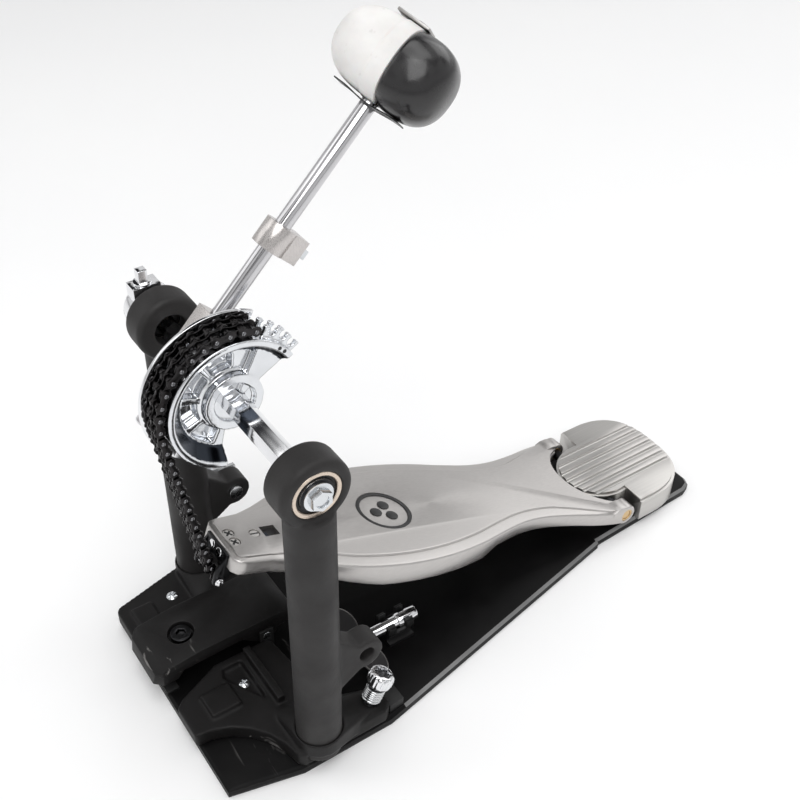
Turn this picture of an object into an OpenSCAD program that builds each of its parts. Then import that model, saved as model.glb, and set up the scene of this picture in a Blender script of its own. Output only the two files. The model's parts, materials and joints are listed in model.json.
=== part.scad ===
// Bass drum pedal: chain drive, solid footboard, hinged heel plate, steel base plate.
// Millimetres. +Y points at the drum, +X to the player's right, +Z up.
// The origin lies on the floor, straight below the middle of the hex shaft.

/* [Stand] */
// Height of the hex shaft above the floor
shaft_z = 188; // [180:1:196]
// Distance of each post from the middle plane
post_x = 67.4; // [66:0.2:69]
// Diameter of the round posts
post_d = 23.2; // [22:0.2:24]
// Largest radius of the bearing housings
hub_r = 17.2; // [16.8:0.1:18]
// Length of a bearing housing along the shaft
hub_len = 16.8; // [16:0.2:18]
// Outer radius of the ball bearings
bearing_r = 11.8; // [11.4:0.1:12.2]

/* [Base] */
// Thickness of the rubber under the plate
rubber_t = 1.5; // [1:0.1:2]
// Thickness of the steel plate
plate_t = 4; // [3:0.5:5]
// Front edge of the plate
front_y = 51; // [49:0.5:53]
// Heel end of the plate
heel_y = -299; // [-302:0.5:-297]
// Half width of the plate at the feet
foot_half = 74; // [73:0.5:76]

/* [Footboard] */
// Hinge axis of the footboard, along Y
hinge_y = -236; // [-237:0.5:-235]
// Height of the hinge axis
hinge_z = 15.3; // [15:0.1:16]
// Slope of the footboard at rest
board_angle = 18.8; // [18.5:0.1:19.1]
// Length from the hinge axis to the toe
board_len = 263.6; // [263:0.1:264]
// Depth of the footboard's side wall
board_t = 10; // [9:0.5:10.5]
// Extra depth of the side wall along the wide part
belly = 4.5; // [0:0.5:5]

/* [Drive] */
// Width across the flats of the hex shaft
hex_af = 10; // [9.4:0.1:10]
// Pitch of the double roller chain
pitch = 6.35; // [6.35:0.01:6.35]
// Teeth that a full sprocket of this radius would have
teeth = 36; // [36:1:36]

/* [Beater] */
// Diameter of the beater rod
rod_d = 8; // [7.6:0.1:8]
// Place of the rod along the shaft
rod_x = 26; // [25:0.5:27]
// Distance of the rod's axis from the shaft's axis
rod_off = 10; // [9.8:0.1:10.4]
// Lean of the rod towards the heel
rod_tilt = 44.5; // [43:0.5:46]
// Distance along the rod from the shaft to the underside of the head
head_s = 140; // [136:1:146]
// Turn of the head about the rod
head_turn = 58; // [0:1:90]

/* [Hidden] */
$fn = 48;
e = 0.01;

plate_top = rubber_t + plate_t;
hub_in = post_x - hub_len / 2;
hub_out = post_x + hub_len / 2;
shaft_gap = 0.06;
foot_top = plate_top + 9;
step_y = -214;
taper_y = -50;
front_half = 65;

ear_y = -25;
ear_z = 67;
ear_t = 12;
ear_r = 9;

spring_x = 87;
spring_y = -17;
rocker_r = 18;
rocker_rest = 207.5;

chain_r = pitch / (2 * sin(180 / teeth));
step_a = 360 / teeth;
chain_first = 110;
fixed_links = 6;
free_links = 6;
run_links = 15;
run_lean = 9.41;
roller_r = 1.6;
chain_pin_r = 0.9;
link_end_r = 2.6;

board_top = 4;
nose_y = -243;
nose_r = 24;
spur_tilt = 25.6;
spur_y = -31;
spur_z = foot_top;
spur_x = 65;

// ---------- shared helpers ----------

// A flat outline in the Y-Z plane, thickened along X from x0 to x1
module along_x(x0, x1) {
    translate([x0, 0, 0]) rotate([90, 0, 90]) linear_extrude(x1 - x0) children();
}

// A cylinder along X
module bar_x(x0, x1, r, y = 0, z = 0) {
    translate([x0, y, z]) rotate([0, 90, 0]) cylinder(r = r, h = x1 - x0);
}

// A cylinder along Z
module bar_z(z0, z1, r, x = 0, y = 0) {
    translate([x, y, z0]) cylinder(r = r, h = z1 - z0);
}

// A block between two corners
module block(a, b) {
    translate(a) cube(b - a);
}

// Flat ring outline
module ring2(ro, ri) {
    difference() {
        circle(r = ro);
        circle(r = ri);
    }
}

// A wedge outline from angle a0 to a1, reaching past radius r
module wedge2(a0, a1, r) {
    steps = 12;
    polygon(concat([[0, 0]], [for (i = [0 : steps]) let (a = a0 + (a1 - a0) * i / steps)
        [r * 1.3 * cos(a), r * 1.3 * sin(a)]]));
}

// Places children in the frame of the beater rod: +Z up the rod, +Y away from the shaft
module on_rod() {
    translate([rod_x, 0, shaft_z]) rotate([rod_tilt, 0, 0]) translate([0, rod_off, 0]) children();
}

// Places children in the frame of the shaft, tilted like the rod
module on_shaft(x = 0) {
    translate([x, 0, shaft_z]) rotate([rod_tilt, 0, 0]) children();
}

// Places children in the footboard's frame: +Y along the board, +Z out of its top
module on_board() {
    translate([0, hinge_y, hinge_z]) rotate([board_angle, 0, 0]) children();
}

// Smooth curve through points p: cubic between points i and i+1 at share t
function spline(p, i, t) = let (
    a = p[max(i - 1, 0)],
    b = p[i],
    c = p[i + 1],
    d = p[min(i + 2, len(p) - 1)])
    0.5 * (2 * b + (c - a) * t + (2 * a - 5 * b + 4 * c - d) * t * t + (3 * b - a - 3 * c + d) * t * t * t);

function smooth(p, n) = concat(
    [for (i = [0 : len(p) - 2]) for (k = [0 : n - 1]) spline(p, i, k / n)], [p[len(p) - 1]]);

function mirrored(p) = concat(p, [for (i = [len(p) - 1 : -1 : 0]) [-p[i][0], p[i][1]]]);

// Screw with a pan head on the plane z = 0 and a cross recess
module pan_screw(r, shank_r, shank_l) {
    difference() {
        union() {
            intersection() {
                cylinder(r = r, h = r * 0.55);
                translate([0, 0, -r * 0.75]) sphere(r = r * 1.32);
            }
            translate([0, 0, -shank_l]) cylinder(r = shank_r, h = shank_l + e);
        }
        for (a = [0, 90]) rotate([0, 0, a]) translate([-r * 0.55, -r * 0.1, r * 0.3]) cube([r * 1.1, r * 0.2, r]);
    }
}

// Screw with the square head that a drum key turns; the head stands on the plane z = 0
module key_screw(head, head_h, collar_r, shank_r, shank_l) {
    translate([-head / 2, -head / 2, 1.2]) cube([head, head, head_h]);
    cylinder(r = collar_r, h = 1.2 + e);
    translate([0, 0, -shank_l]) cylinder(r = shank_r, h = shank_l + e);
}

// ---------- base ----------

function plate_outline() = [[front_half, front_y], [foot_half, 13], [foot_half, -40], [72, taper_y],
    [39, step_y], [37.5, step_y - 0.5], [34, heel_y + 8], [31.5, heel_y + 2], [27, heel_y]];

module base_outline() {
    polygon(mirrored(plate_outline()));
}

module rubber_underlay() {
    color("#1b1b1c") difference() {
        linear_extrude(rubber_t) base_outline();
        for (s = [-1, 1]) spur_hole(s, 5.2);
    }
}

module base_plate() {
    color("#141415") difference() {
        translate([0, 0, rubber_t]) linear_extrude(plate_t) base_outline();
        for (s = [-1, 1]) spur_hole(s, 5.2);
        for (p = foot_screw_places()) bar_z(rubber_t - 1, plate_top + 1, 1.7, p[0], p[1]);
        for (s = [-1, 1]) bar_z(rubber_t - 1, plate_top + 1, 2.1, s * 18, nose_y - 18);
        bar_z(rubber_t - 1, plate_top + 1, clamp_bolt_r + shaft_gap, clamp_bolt_x, clamp_screw_y);
        bar_z(rubber_t - 1, plate_top + 1, 1.3, key_x, -72);
    }
}

function foot_screw_places() = [[-17, 16], [56, 22], [-58, -12], [58, -12]];

// Clearance hole for a spur screw, along the screw's own line
module spur_hole(side, r) {
    translate([side * spur_x, spur_y, spur_z]) rotate([spur_tilt, 0, 0])
        translate([0, 0, -30]) cylinder(r = r, h = 60);
}

function left_foot_outline() = concat(
    [[-34, front_y + 1.5]],
    [for (a = [0 : 6]) [-76 + 42 * cos(a * 14), 52.5 - 38 * sin(a * 14)]],
    [[-foot_half, 12], [-foot_half, -36], [-71, -40], [-58, -40], [-54, -24], [-44, -14], [-2, -9],
     [0.5, -6], [0.5, 24], [-10, front_y - 3], [-14, front_y + 1.5]]);

function right_foot_outline() = concat(
    [[40, front_y + 1.5], [62, front_y + 1.5], [64.5, front_y - 0.5], [foot_half, 13], [foot_half, -36],
     [71, -40], [58, -40], [54, -24], [44, -16], [39.5, -14]]);

// Sloping web that carries the post's foot down to the plate
module foot_web(side) {
    hull() {
        translate([side * post_x, 0, foot_top - 1]) cylinder(r = post_d / 2 + 1.2, h = 9, $fn = 32);
        translate([side * 46, 8, plate_top]) cylinder(r = 5, h = 9, $fn = 32);
        translate([side * 63, -30, plate_top]) cylinder(r = 7, h = 9, $fn = 32);
    }
}

module left_foot() {
    color("#232223") difference() {
        union() {
            translate([0, 0, plate_top]) linear_extrude(9) polygon(left_foot_outline());
            foot_web(-1);
            block([-40, 4, foot_top - e], [-1.5, 8, foot_top + 5]);
            block([-30, 24, foot_top - e], [-15, 40, foot_top + 2.5]);
        }
        translate([0, 0, foot_top - 3]) linear_extrude(12) polygon([[-34, 11], [-4.5, 11], [-4.5, 22], [-10, 24]]);
        spur_hole(-1, 3.56);
        post_socket(-1);
        foot_screw_holes(-1);
    }
}

module right_foot() {
    color("#1d1d1e") difference() {
        union() {
            translate([0, 0, plate_top]) linear_extrude(9) polygon(right_foot_outline());
            foot_web(1);
            block([42, 34, foot_top - e], [58, 46, foot_top + 2]);
        }
        spur_hole(1, 3.56);
        post_socket(1);
        foot_screw_holes(1);
    }
}

// The post's spigot stands in this socket
module post_socket(side) {
    bar_z(plate_top + 3, foot_top + 20, post_d / 2, side * post_x, 0);
}

module foot_screw_holes(side) {
    for (p = foot_screw_places()) if (side * p[0] > 0) {
        depth = p == foot_screw_places()[0] ? 3 : 0;
        bar_z(plate_top - 1, foot_top + 12, 1.75, p[0], p[1]);
        if (abs(p[1]) < 13) bar_z(foot_top - depth, foot_top + 20, 4.2, p[0], p[1]);
    }
}

module foot_screws() {
    color("#d9d9dc") for (p = foot_screw_places()) {
        depth = p == foot_screw_places()[0] ? 3 : 0;
        translate([p[0], p[1], foot_top - depth]) pan_screw(3.4, 1.65, foot_top - depth - rubber_t - 0.5);
    }
}

module post(side) {
    x = side * post_x;
    difference() {
        union() {
            bar_z(plate_top + 3, shaft_z - hub_r + 4, post_d / 2, x, 0);
            housing(side);
            ear(side);
        }
        bar_x(x - hub_len, x + hub_len, 8.4, 0, shaft_z);
        bearing_seat(side);
        bar_x(x - ear_t, x + ear_t, 4, ear_y, ear_z);
    }
}

// Barrel-shaped bearing housing, turned about the shaft's axis
module housing(side) {
    edge = 3.2;
    translate([side * post_x, 0, shaft_z]) rotate([0, 90, 0]) rotate_extrude($fn = 64)
        polygon(concat([[6, -hub_len / 2]], [for (a = [-90 : 15 : -15]) [hub_r - edge + edge * cos(a),
            -hub_len / 2 + edge + edge * sin(a)]], [for (a = [15 : 15 : 90]) [hub_r - edge + edge * cos(a),
            hub_len / 2 - edge + edge * sin(a)]], [[6, hub_len / 2]]));
}

module bearing_seat(side) {
    inner = side > 0 ? hub_out - 7 : -hub_out - 1;
    bar_x(inner, inner + 8, bearing_r, 0, shaft_z);
}

// Vertical lug on the heel side of the post, bored across
module ear(side) {
    x0 = side * post_x - ear_t / 2;
    translate([x0, 0, 0]) rotate([90, 0, 90]) linear_extrude(ear_t) {
        polygon([[-6, 48], [ear_y + 3, ear_z - ear_r + 0.6], [ear_y, ear_z], [ear_y + 4, ear_z + ear_r - 0.9], [-6, 88]]);
        translate([ear_y, ear_z]) circle(r = ear_r);
    }
}

module left_post() {
    color("#2b2a2b") post(-1);
}

module right_post() {
    color("#232324") post(1);
}

module bearing(side) {
    x0 = side > 0 ? hub_out - 7 : -hub_out + 0.6;
    difference() {
        bar_x(x0, x0 + 6.4, bearing_r, 0, shaft_z);
        bar_x(x0 - 1, x0 + 9, 8.2, 0, shaft_z);
        face = side > 0 ? x0 + 6.4 : x0;
        translate([face, 0, shaft_z]) rotate([0, 90, 0]) rotate_extrude() translate([10.1, 0]) circle(r = 0.5, $fn = 16);
    }
}

module left_bearing() {
    color("#cdbfae") bearing(-1);
}

module right_bearing() {
    color("#cdbfae") bearing(1);
}

// Rubber-faced cheeks that cap the plate's edge behind each foot
module side_brackets() {
    color("#0f0f10") for (s = [-1, 1]) translate([s * 65, -44.5, plate_top + e]) difference() {
        linear_extrude(5.5) polygon([[-6, 4], [-5, -5], [s > 0 ? 4 : 6, -5], [7, 4]]);
        translate([0, 0, -1]) cylinder(r = 1.5, h = 3);
    }
}

// ---------- heel ----------

function heel_outline() = concat([[38, nose_y - 4.5], [38, nose_y - 16]],
    [for (a = [6 : 7 : 90]) [38 * pow(cos(a), 0.72), nose_y - 16 - 34 * pow(sin(a), 0.9)]]);

module heel_body(z0, z1, inset) {
    share = inset / 40;
    rim = mirrored(heel_outline());
    translate([0, 0, z0]) linear_extrude(z1 - z0) {
        polygon([for (p = rim) [p[0] * (1 - share), p[1] * (1 - share) + nose_y * share]]);
        translate([0, nose_y]) circle(r = nose_r - inset, $fn = 72);
    }
}

module heel_plate() {
    top = 22;
    grooves = 7;
    color("#b9b6b3") difference() {
        union() {
            heel_body(plate_top, top - 2, 0);
            heel_body(top - 2 - e, top, 1.4);
        }
        bar_x(-60, 60, 3.0, hinge_y, hinge_z);
        for (i = [0 : grooves - 1]) translate([(i - (grooves - 1) / 2) * 6, 0, top])
            rotate([90, 0, 0]) cylinder(r = 1.25, h = 400, $fn = 16);
        block([-22, nose_y - 8, plate_top - 1], [22, nose_y - 2, plate_top + 3]);
        for (s = [-1, 1]) bar_z(plate_top - 1, plate_top + 10, 1.9, s * 18, nose_y - 18);
    }
}

module heel_screws() {
    color("#5d5d60") for (s = [-1, 1]) bar_z(rubber_t + 0.2, plate_top + 8.2, 1.9, s * 18, nose_y - 18);
}

module hinge_pin() {
    color("#c9a26a") bar_x(-37.6, 37.6, 3.0, hinge_y, hinge_z);
}

// ---------- hoop clamp ----------

clamp_x0 = 2.2;
clamp_x1 = 37.6;
clamp_mid = (clamp_x0 + clamp_x1) / 2;
clamp_pivot_y = -8;
clamp_pivot_z = 16.5;
clamp_screw_y = 33;
clamp_bolt_x = clamp_mid - 0.4;
clamp_bolt_r = 3.1;

module lever_outline() {
    polygon([[-29, 19], [-26, 26], [-18, 28.2], [30, 28.2], [50, 25.6], [55, 22.5], [56.5, 14.8], [44, 14.8],
        [40, 19.5], [6, 20.5], [clamp_pivot_y + 6, 14], [clamp_pivot_y, 11.6], [clamp_pivot_y - 6, 14],
        [clamp_pivot_y - 8, 18]]);
}

module clamp_lever() {
    color("#1e1e1f") difference() {
        along_x(clamp_x0, clamp_x1) lever_outline();
        bar_x(clamp_x0 - 1, clamp_x1 + 1, 2.5 + shaft_gap, clamp_pivot_y, clamp_pivot_z);
        translate([clamp_bolt_x, clamp_screw_y, 0]) cylinder(r = 4.3, h = 60);
        translate([clamp_bolt_x, clamp_screw_y, 23.4]) cylinder(r = 7.2, h = 20);
        for (s = [-1, 1]) translate([s > 0 ? clamp_x1 : clamp_x0, 57, 0]) rotate([0, 0, 45]) cube([7, 7, 80], center = true);
        for (s = [-1, 1]) translate([s > 0 ? clamp_x1 : clamp_x0, -30, 0]) rotate([0, 0, 45]) cube([9, 9, 80], center = true);
    }
}

// The bolt that draws the lever down on the drum's hoop
module clamp_screw() {
    color("#3a3a3c") translate([clamp_bolt_x, clamp_screw_y, 0]) difference() {
        union() {
            bar_z(rubber_t + 3.1, 24.1, clamp_bolt_r);
            bar_z(24, 27.4, 5.6);
        }
        translate([0, 0, 25]) cylinder(r = 2.9, h = 5, $fn = 6);
    }
}

module clamp_pin() {
    color("#8b8b8e") bar_x(clamp_x0 - 1.7, clamp_x1 + 1.9, 2.5, clamp_pivot_y, clamp_pivot_z);
}

// Two bearing blocks for the lever's pin, the hoop's lower pad and the bolt's threaded boss
module clamp_pads() {
    color("#121213") {
        difference() {
            block([clamp_x0 - 1.7, clamp_pivot_y - 4, plate_top], [clamp_x0 - 0.3, clamp_pivot_y + 4, 21]);
            bar_x(-5, 60, 2.5, clamp_pivot_y, clamp_pivot_z);
        }
        difference() {
            block([clamp_x1 + 0.3, clamp_pivot_y - 4, plate_top], [clamp_x1 + 1.9, clamp_pivot_y + 4, 21]);
            bar_x(-5, 60, 2.5, clamp_pivot_y, clamp_pivot_z);
        }
        block([clamp_x0 + 1, 44, plate_top], [clamp_x1 - 1, front_y, plate_top + 1.5]);
        difference() {
            bar_z(plate_top, plate_top + 5, 7, clamp_bolt_x, clamp_screw_y);
            bar_z(0, 30, clamp_bolt_r + shaft_gap, clamp_bolt_x, clamp_screw_y);
        }
    }
}

// ---------- drum key in its clip ----------

key_x = -28.6;
key_y0 = -85;
key_y1 = -40;
key_z = 15;
key_r = 4.2;

module key_clip() {
    color("#101011") translate([key_x, -72, 0]) difference() {
        union() {
            block([-7, -8, plate_top], [7, 8, plate_top + 2.2]);
            translate([0, 8, key_z]) rotate([90, 0, 0]) cylinder(r = key_r + 2.5, h = 16);
            block([-4, -8, plate_top], [4, 8, key_z - 4]);
            block([-key_r - 2.5, -8, key_z], [key_r + 2.5, 8, key_z + 4]);
        }
        translate([0, 20, key_z]) rotate([90, 0, 0]) cylinder(r = key_r + 0.3, h = 40);
        block([-key_r - 0.3, -20, key_z], [key_r + 0.3, 20, 40]);
        block([-10, -3.4, key_z - 1], [10, 3.4, 40]);
        bar_z(0, key_z, 1.3);
    }
}

module key_clip_screw() {
    color("#77777a") bar_z(plate_top - 3.6, plate_top + 3.4, 1.25, key_x, -72);
}

module drum_key() {
    wing_y = -48;
    color("#c8c8cc") difference() {
        union() {
            translate([key_x, key_y1, key_z]) rotate([90, 0, 0]) cylinder(r = key_r, h = key_y1 - key_y0);
            translate([key_x, wing_y, key_z - 1]) for (s = [-1, 1]) intersection() {
                translate([s * 15, -6.6, 0]) cylinder(r = 13.2, h = 2);
                translate([s * 15, 6.6, 0]) cylinder(r = 13.2, h = 2);
            }
            translate([key_x, wing_y, key_z]) block([-8, -5, -1], [8, 5, 1]);
        }
        translate([key_x - 2.7, key_y0 - 1, key_z - 2.7]) cube([5.4, 13, 5.4]);
    }
}

// ---------- spur screws ----------

module on_spur(side) {
    translate([side * spur_x, spur_y, spur_z]) rotate([spur_tilt, 0, 0]) children();
}

module spur(side) {
    on_spur(side) difference() {
        union() {
            translate([0, 0, -9.5]) cylinder(r = 3.5, h = 24);
            translate([0, 0, -11.5]) cylinder(r1 = 1.2, r2 = 3.5, h = 2 + e);
            translate([0, 0, 13]) cylinder(r = 6.9, h = 8);
            translate([0, 0, 11.4]) cylinder(r1 = 5, r2 = 6.9, h = 1.6 + e);
        }
        for (a = [0 : 60 : 150]) translate([0, 0, 18]) rotate([0, 0, a]) cube([9, 2.2, 8], center = true);
        for (a = [0 : 30 : 330]) rotate([0, 0, a]) translate([7.4, 0, 12]) cylinder(r = 0.9, h = 12, $fn = 16);
    }
}

module left_spur() {
    color("#d3d3d6") spur(-1);
}

module right_spur() {
    color("#d3d3d6") spur(1);
}

// Locking springs round the spur screws, drawn as stacked turns
module spur_springs() {
    turns = 5;
    color("#c4c4c8") for (s = [-1, 1]) on_spur(s) for (i = [0 : turns - 1])
        translate([0, 0, 3.4 + i * 1.65]) rotate_extrude($fn = 32) translate([4.6, 0]) circle(r = 0.8, $fn = 16);
}

// ---------- footboard ----------

// Half width against distance from the hinge axis
board_edge = [[38, -5.5], [38.2, 6], [36, 22], [31.5, 42], [28.4, 62], [29, 80], [33, 99], [38, 119],
    [41.3, 140], [42.2, 160], [40.8, 180], [36.8, 200], [30, 218], [22.6, 234], [18.8, 245]];

function board_outline() = concat(smooth(board_edge, 4), [[17.8, board_len - 6.5], [13.6, board_len]]);

module board_plan() {
    difference() {
        polygon(mirrored(board_outline()));
        translate([0, nose_y - hinge_y]) circle(r = nose_r + 4.8, $fn = 72);
        translate([-29, -40]) square([58, 41]);
    }
}

module footboard() {
    low = board_top - board_t;
    color("#b3b0ae") difference() {
        on_board() difference() {
            union() {
                translate([0, 0, low]) linear_extrude(board_t) difference() {
                    board_plan();
                    translate([-50, -20]) square([100, 20]);
                }
                intersection() {
                    translate([0, 0, low - belly]) linear_extrude(belly + 1) board_plan();
                    along_x(-50, 50) polygon([[104, low], [114, low - belly], [186, low - belly], [226, low],
                        [226, low + 1], [104, low + 1]]);
                }
                for (s = [-1, 1]) bar_x(s > 0 ? 29 : -38, s > 0 ? 38 : -29, 6.6);
                for (s = [-1, 1]) along_x(s > 0 ? 29 : -38, s > 0 ? 38 : -29)
                    polygon([[-4, 0], [-4.6, 4.2], [-2, 6.2], [5, 6.1], [12, board_top - 0.1], [12, 0]]);
            }
            translate([0, 0, low - belly - 1]) linear_extrude(belly + 4.4) board_pockets();
            translate([-3.8, board_len - 32, low - 1]) cube([7.6, 8.5, 20]);
            translate([0, board_len - 19, board_top - 1]) cylinder(r = 2.9, h = 4);
            for (s = [-1, 1]) translate([s * 3.4, board_len - 6, board_top - 1.2]) cylinder(r = 3, h = 4);
            for (s = [-1, 1]) anchor_hole(s, 1.25);
            translate([0, 163, board_top - 0.6]) cylinder(r = 16, h = 2, $fn = 72);
        }
        for (s = [-1, 1]) bar_x(s * 33.5 - 10, s * 33.5 + 10, 4.2, hinge_y, hinge_z);
    }
}

// Recess under the board, split by cross ribs
module board_pockets() {
    ribs = [40, 74, 108, 142, 176, 210];
    for (i = [0 : len(ribs) - 2]) intersection() {
        scale([0.86, 1]) polygon(mirrored(board_outline()));
        translate([-60, ribs[i] + 2]) square([120, ribs[i + 1] - ribs[i] - 4]);
    }
}

module anchor_hole(s, r) {
    translate([s * 3.4, board_len + 6, -1]) rotate([90, 0, 0]) cylinder(r = r, h = 16);
}

module board_emblem() {
    color("#1c1c1e") on_board() translate([0, 163, board_top - 0.6]) {
        difference() {
            cylinder(r = 15.8, h = 0.5, $fn = 72);
            translate([0, 0, -1]) cylinder(r = 13.6, h = 3, $fn = 72);
        }
        for (a = [0 : 120 : 240]) rotate([0, 0, a]) translate([0, 5.2, 0]) cylinder(r = 3.4, h = 0.5);
    }
}

module toe_screws() {
    color("#a7a7aa") on_board() {
        translate([0, board_len - 19, board_top - 1]) difference() {
            cylinder(r = 2.8, h = 0.9);
            translate([-0.35, -4, 0.4]) cube([0.7, 8, 2]);
        }
        for (s = [-1, 1]) translate([s * 3.4, board_len - 6, board_top - 1.2]) difference() {
            cylinder(r = 2.9, h = 0.9);
            for (a = [0, 90]) rotate([0, 0, a]) translate([-1.8, -0.35, 0.3]) cube([3.6, 0.7, 2]);
        }
    }
}

module hinge_bushes() {
    color("#b98d4f") for (s = [-1, 1]) difference() {
        bar_x(s > 0 ? 29 : -37.9, s > 0 ? 37.9 : -29, 4.2, hinge_y, hinge_z);
        bar_x(-60, 60, 3.0 + shaft_gap, hinge_y, hinge_z);
    }
}

// Chrome plate under the toe that takes the chain's last pin
anchor_s = board_len + 2.4;
anchor_h = -14;

module chain_anchor() {
    wall = 1.4;
    color("#d7d7da") on_board() difference() {
        union() {
            block([-10.2, board_len + e, -6], [10.2, board_len + wall, 1.6]);
            block([-10.2, board_len - 16, board_top - board_t - wall], [10.2, board_len - 0.8, board_top - board_t - e]);
            for (s = [-1, 1]) along_x(s > 0 ? 8.8 : -10.2, s > 0 ? 10.2 : -8.8) union() {
                polygon([[board_len - 8, board_top - board_t - wall], [board_len - 0.8, board_top - board_t - wall],
                    [board_len + e, board_top - board_t - 0.1], [board_len + e, 0], [board_len + wall, 0],
                    [anchor_s + 3, -8], [anchor_s + 3, anchor_h], [anchor_s - 3, anchor_h]]);
                translate([anchor_s, anchor_h]) circle(r = 3);
            }
        }
        for (s = [-1, 1]) anchor_hole(s, 1.35);
        for (s = [-1, 1]) translate([s * 9.5 - 3, anchor_s, anchor_h]) rotate([0, 90, 0]) cylinder(r = 1.6, h = 6);
    }
}

// Two button screws into the toe and the two headed stubs at the chain's end
module anchor_screws() {
    color("#e2e2e4") on_board() {
        for (s = [-1, 1]) translate([s * 9.5, anchor_s, anchor_h]) rotate([0, s * 90, 0]) {
            translate([0, 0, -2.2]) cylinder(r = 1.6, h = 3);
            translate([0, 0, 0.7]) cylinder(r = 2.2, h = 1.2);
            translate([0, 0, 0.7]) cylinder(r = 1.6, h = 2.2);
        }
        for (s = [-1, 1]) translate([s * 3.4, board_len + 1.4 + e, -1]) rotate([-90, 0, 0]) {
            translate([0, 0, -11]) cylinder(r = 1.25, h = 11);
            cylinder(r = 2.4, h = 0.7);
        }
    }
}

// ---------- drive ----------

module hex_bar(x0, x1, af, turn) {
    translate([x0, 0, shaft_z]) rotate([turn, 0, 0]) rotate([0, 90, 0])
        rotate([0, 0, 30]) cylinder(r = af / 2 / cos(30), h = x1 - x0, $fn = 6);
}

hex_end = hub_in - 1.2;

module hex_shaft() {
    color("#cfcfd2") difference() {
        union() {
            hex_bar(-hex_end, hex_end, hex_af, rod_tilt);
            bar_x(-hub_out + 1.2, -hex_end + e, 4.6, 0, shaft_z);
            bar_x(hex_end - e, shaft_end, 4.6, 0, shaft_z);
            bar_x(-hub_out + 0.8, -hub_out + 6.8, 8.2 - shaft_gap, 0, shaft_z);
            bar_x(hub_out - 6.8, hub_out - 0.8, 8.2 - shaft_gap, 0, shaft_z);
        }
        bar_x(-hub_out - 1, -hub_out + 12, 2.5, 0, shaft_z);
        bar_x(shaft_end - 9, shaft_end + 1, 2.5, 0, shaft_z);
    }
}

module axle_screws() {
    color("#c9cdd0") for (s = [-1, 1]) {
        face = s > 0 ? shaft_end : hub_out - 0.8;
        translate([s * face, 0, shaft_z]) rotate([0, s * 90, 0]) {
            translate([0, 0, -8]) cylinder(r = 2.5, h = 8 + e);
            cylinder(r = 7, h = 1.4);
            difference() {
                cylinder(r = 5.2, h = 4.6, $fn = 6);
                translate([0, 0, 3.6]) cylinder(r = 3.2, h = 3);
            }
        }
    }
}

drum_r = chain_r - link_end_r - 0.6;
flange_x = 7.6;

module sprocket() {
    color("#dcdde0") translate([0, 0, shaft_z]) difference() {
        union() {
            difference() {
                sprocket_blank();
                along_x(-20, 20) difference() {
                    wedge2(150, 284, 45);
                    circle(r = 14.4);
                }
                for (a = [-62, -20, 22, 64]) along_x(-3, 4) intersection() {
                    ring2(24.2, 16.6);
                    wedge2(a, a + 32, 30);
                }
            }
            tooth_sector();
        }
        hex_bore(-12, 12);
    }
}

// Turned blank: hub, web and the rim that the chain lies on
module sprocket_blank() {
    rotate([0, 90, 0]) rotate_extrude($fn = 96) polygon([[2, -3], [10, -3], [10, -5], [14.5, -5], [14.5, -1],
        [25.4, -1], [30.4, -8], [drum_r + 0.2, -8], [drum_r, -5], [drum_r, flange_x], [14.5, flange_x],
        [14.5, flange_x + 1], [2, flange_x + 1]]);
}

module hex_bore(x0, x1) {
    translate([x0, 0, 0]) rotate([rod_tilt, 0, 0]) rotate([0, 90, 0]) rotate([0, 0, 30])
        cylinder(r = (hex_af / 2 + 0.02) / cos(30), h = x1 - x0, $fn = 6);
}

// Two rows of bare teeth past the end of the chain
module tooth_sector() {
    first = chain_first + step_a / 2 + 5;
    for (x = [-4.5, 2.0]) along_x(x, x + 2.5) difference() {
        intersection() {
            circle(r = chain_r + 2.2);
            wedge2(first - 2, 151, chain_r);
        }
        for (a = [first - 5 : step_a : 160]) rotate(a) translate([chain_r, 0]) circle(r = roller_r + 0.5);
        for (a = [first : step_a : 160]) for (s = [-1, 1]) rotate(a + s * 4.6)
            translate([chain_r + 3.4, 0]) circle(r = 2.2);
    }
}

module sprocket_rim() {
    color("#e3e4e6") translate([0, 0, shaft_z]) difference() {
        union() {
            along_x(flange_x + 0.02, flange_x + 1.8) intersection() {
                ring2(39.6, 22);
                wedge2(-80, 118, 39.6);
            }
            along_x(flange_x + 1.0 + 0.02, flange_x + 1.8) intersection() {
                ring2(23, 14.6);
                wedge2(-80, 118, 39.6);
            }
        }
        for (a = [-40, 20, 80]) rotate([a, 0, 0]) translate([0, 28, 0]) rotate([0, 90, 0]) cylinder(r = 1.7, h = 40);
    }
}

// Three rivet screws that hold the rim, seen from the far side
module sprocket_screw() {
    color("#bfc2c6") translate([0, 0, shaft_z]) for (a = [-40, 20, 80]) rotate([a, 0, 0])
        translate([flange_x + 0.02, 28, 0]) rotate([0, 90, 0]) {
            cylinder(r = 1.7, h = 2.2);
            translate([0, 0, 1.78]) cylinder(r = 3, h = 1.3);
        }
}

// ---------- chain ----------

function pin_at(a) = [chain_r * cos(a), chain_r * sin(a)];

// One link from point p, turned to angle a in the Y-Z plane: outer plates with pins, or inner with rollers
module link(p, a, outer, tail_pin = true) {
    translate([0, p[0], p[1]]) rotate([a, 0, 0]) {
        if (outer) outer_link(tail_pin); else inner_link();
    }
}

module plate2() {
    difference() {
        union() {
            circle(r = link_end_r, $fn = 24);
            translate([pitch, 0]) circle(r = link_end_r, $fn = 24);
            translate([0, -1.9]) square([pitch, 3.8]);
        }
        circle(r = chain_pin_r + shaft_gap, $fn = 16);
        translate([pitch, 0]) circle(r = chain_pin_r + shaft_gap, $fn = 16);
    }
}

module pin_plate2() {
    circle(r = link_end_r, $fn = 24);
    translate([pitch, 0]) circle(r = link_end_r, $fn = 24);
    translate([0, -1.9]) square([pitch, 3.8]);
}

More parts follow.
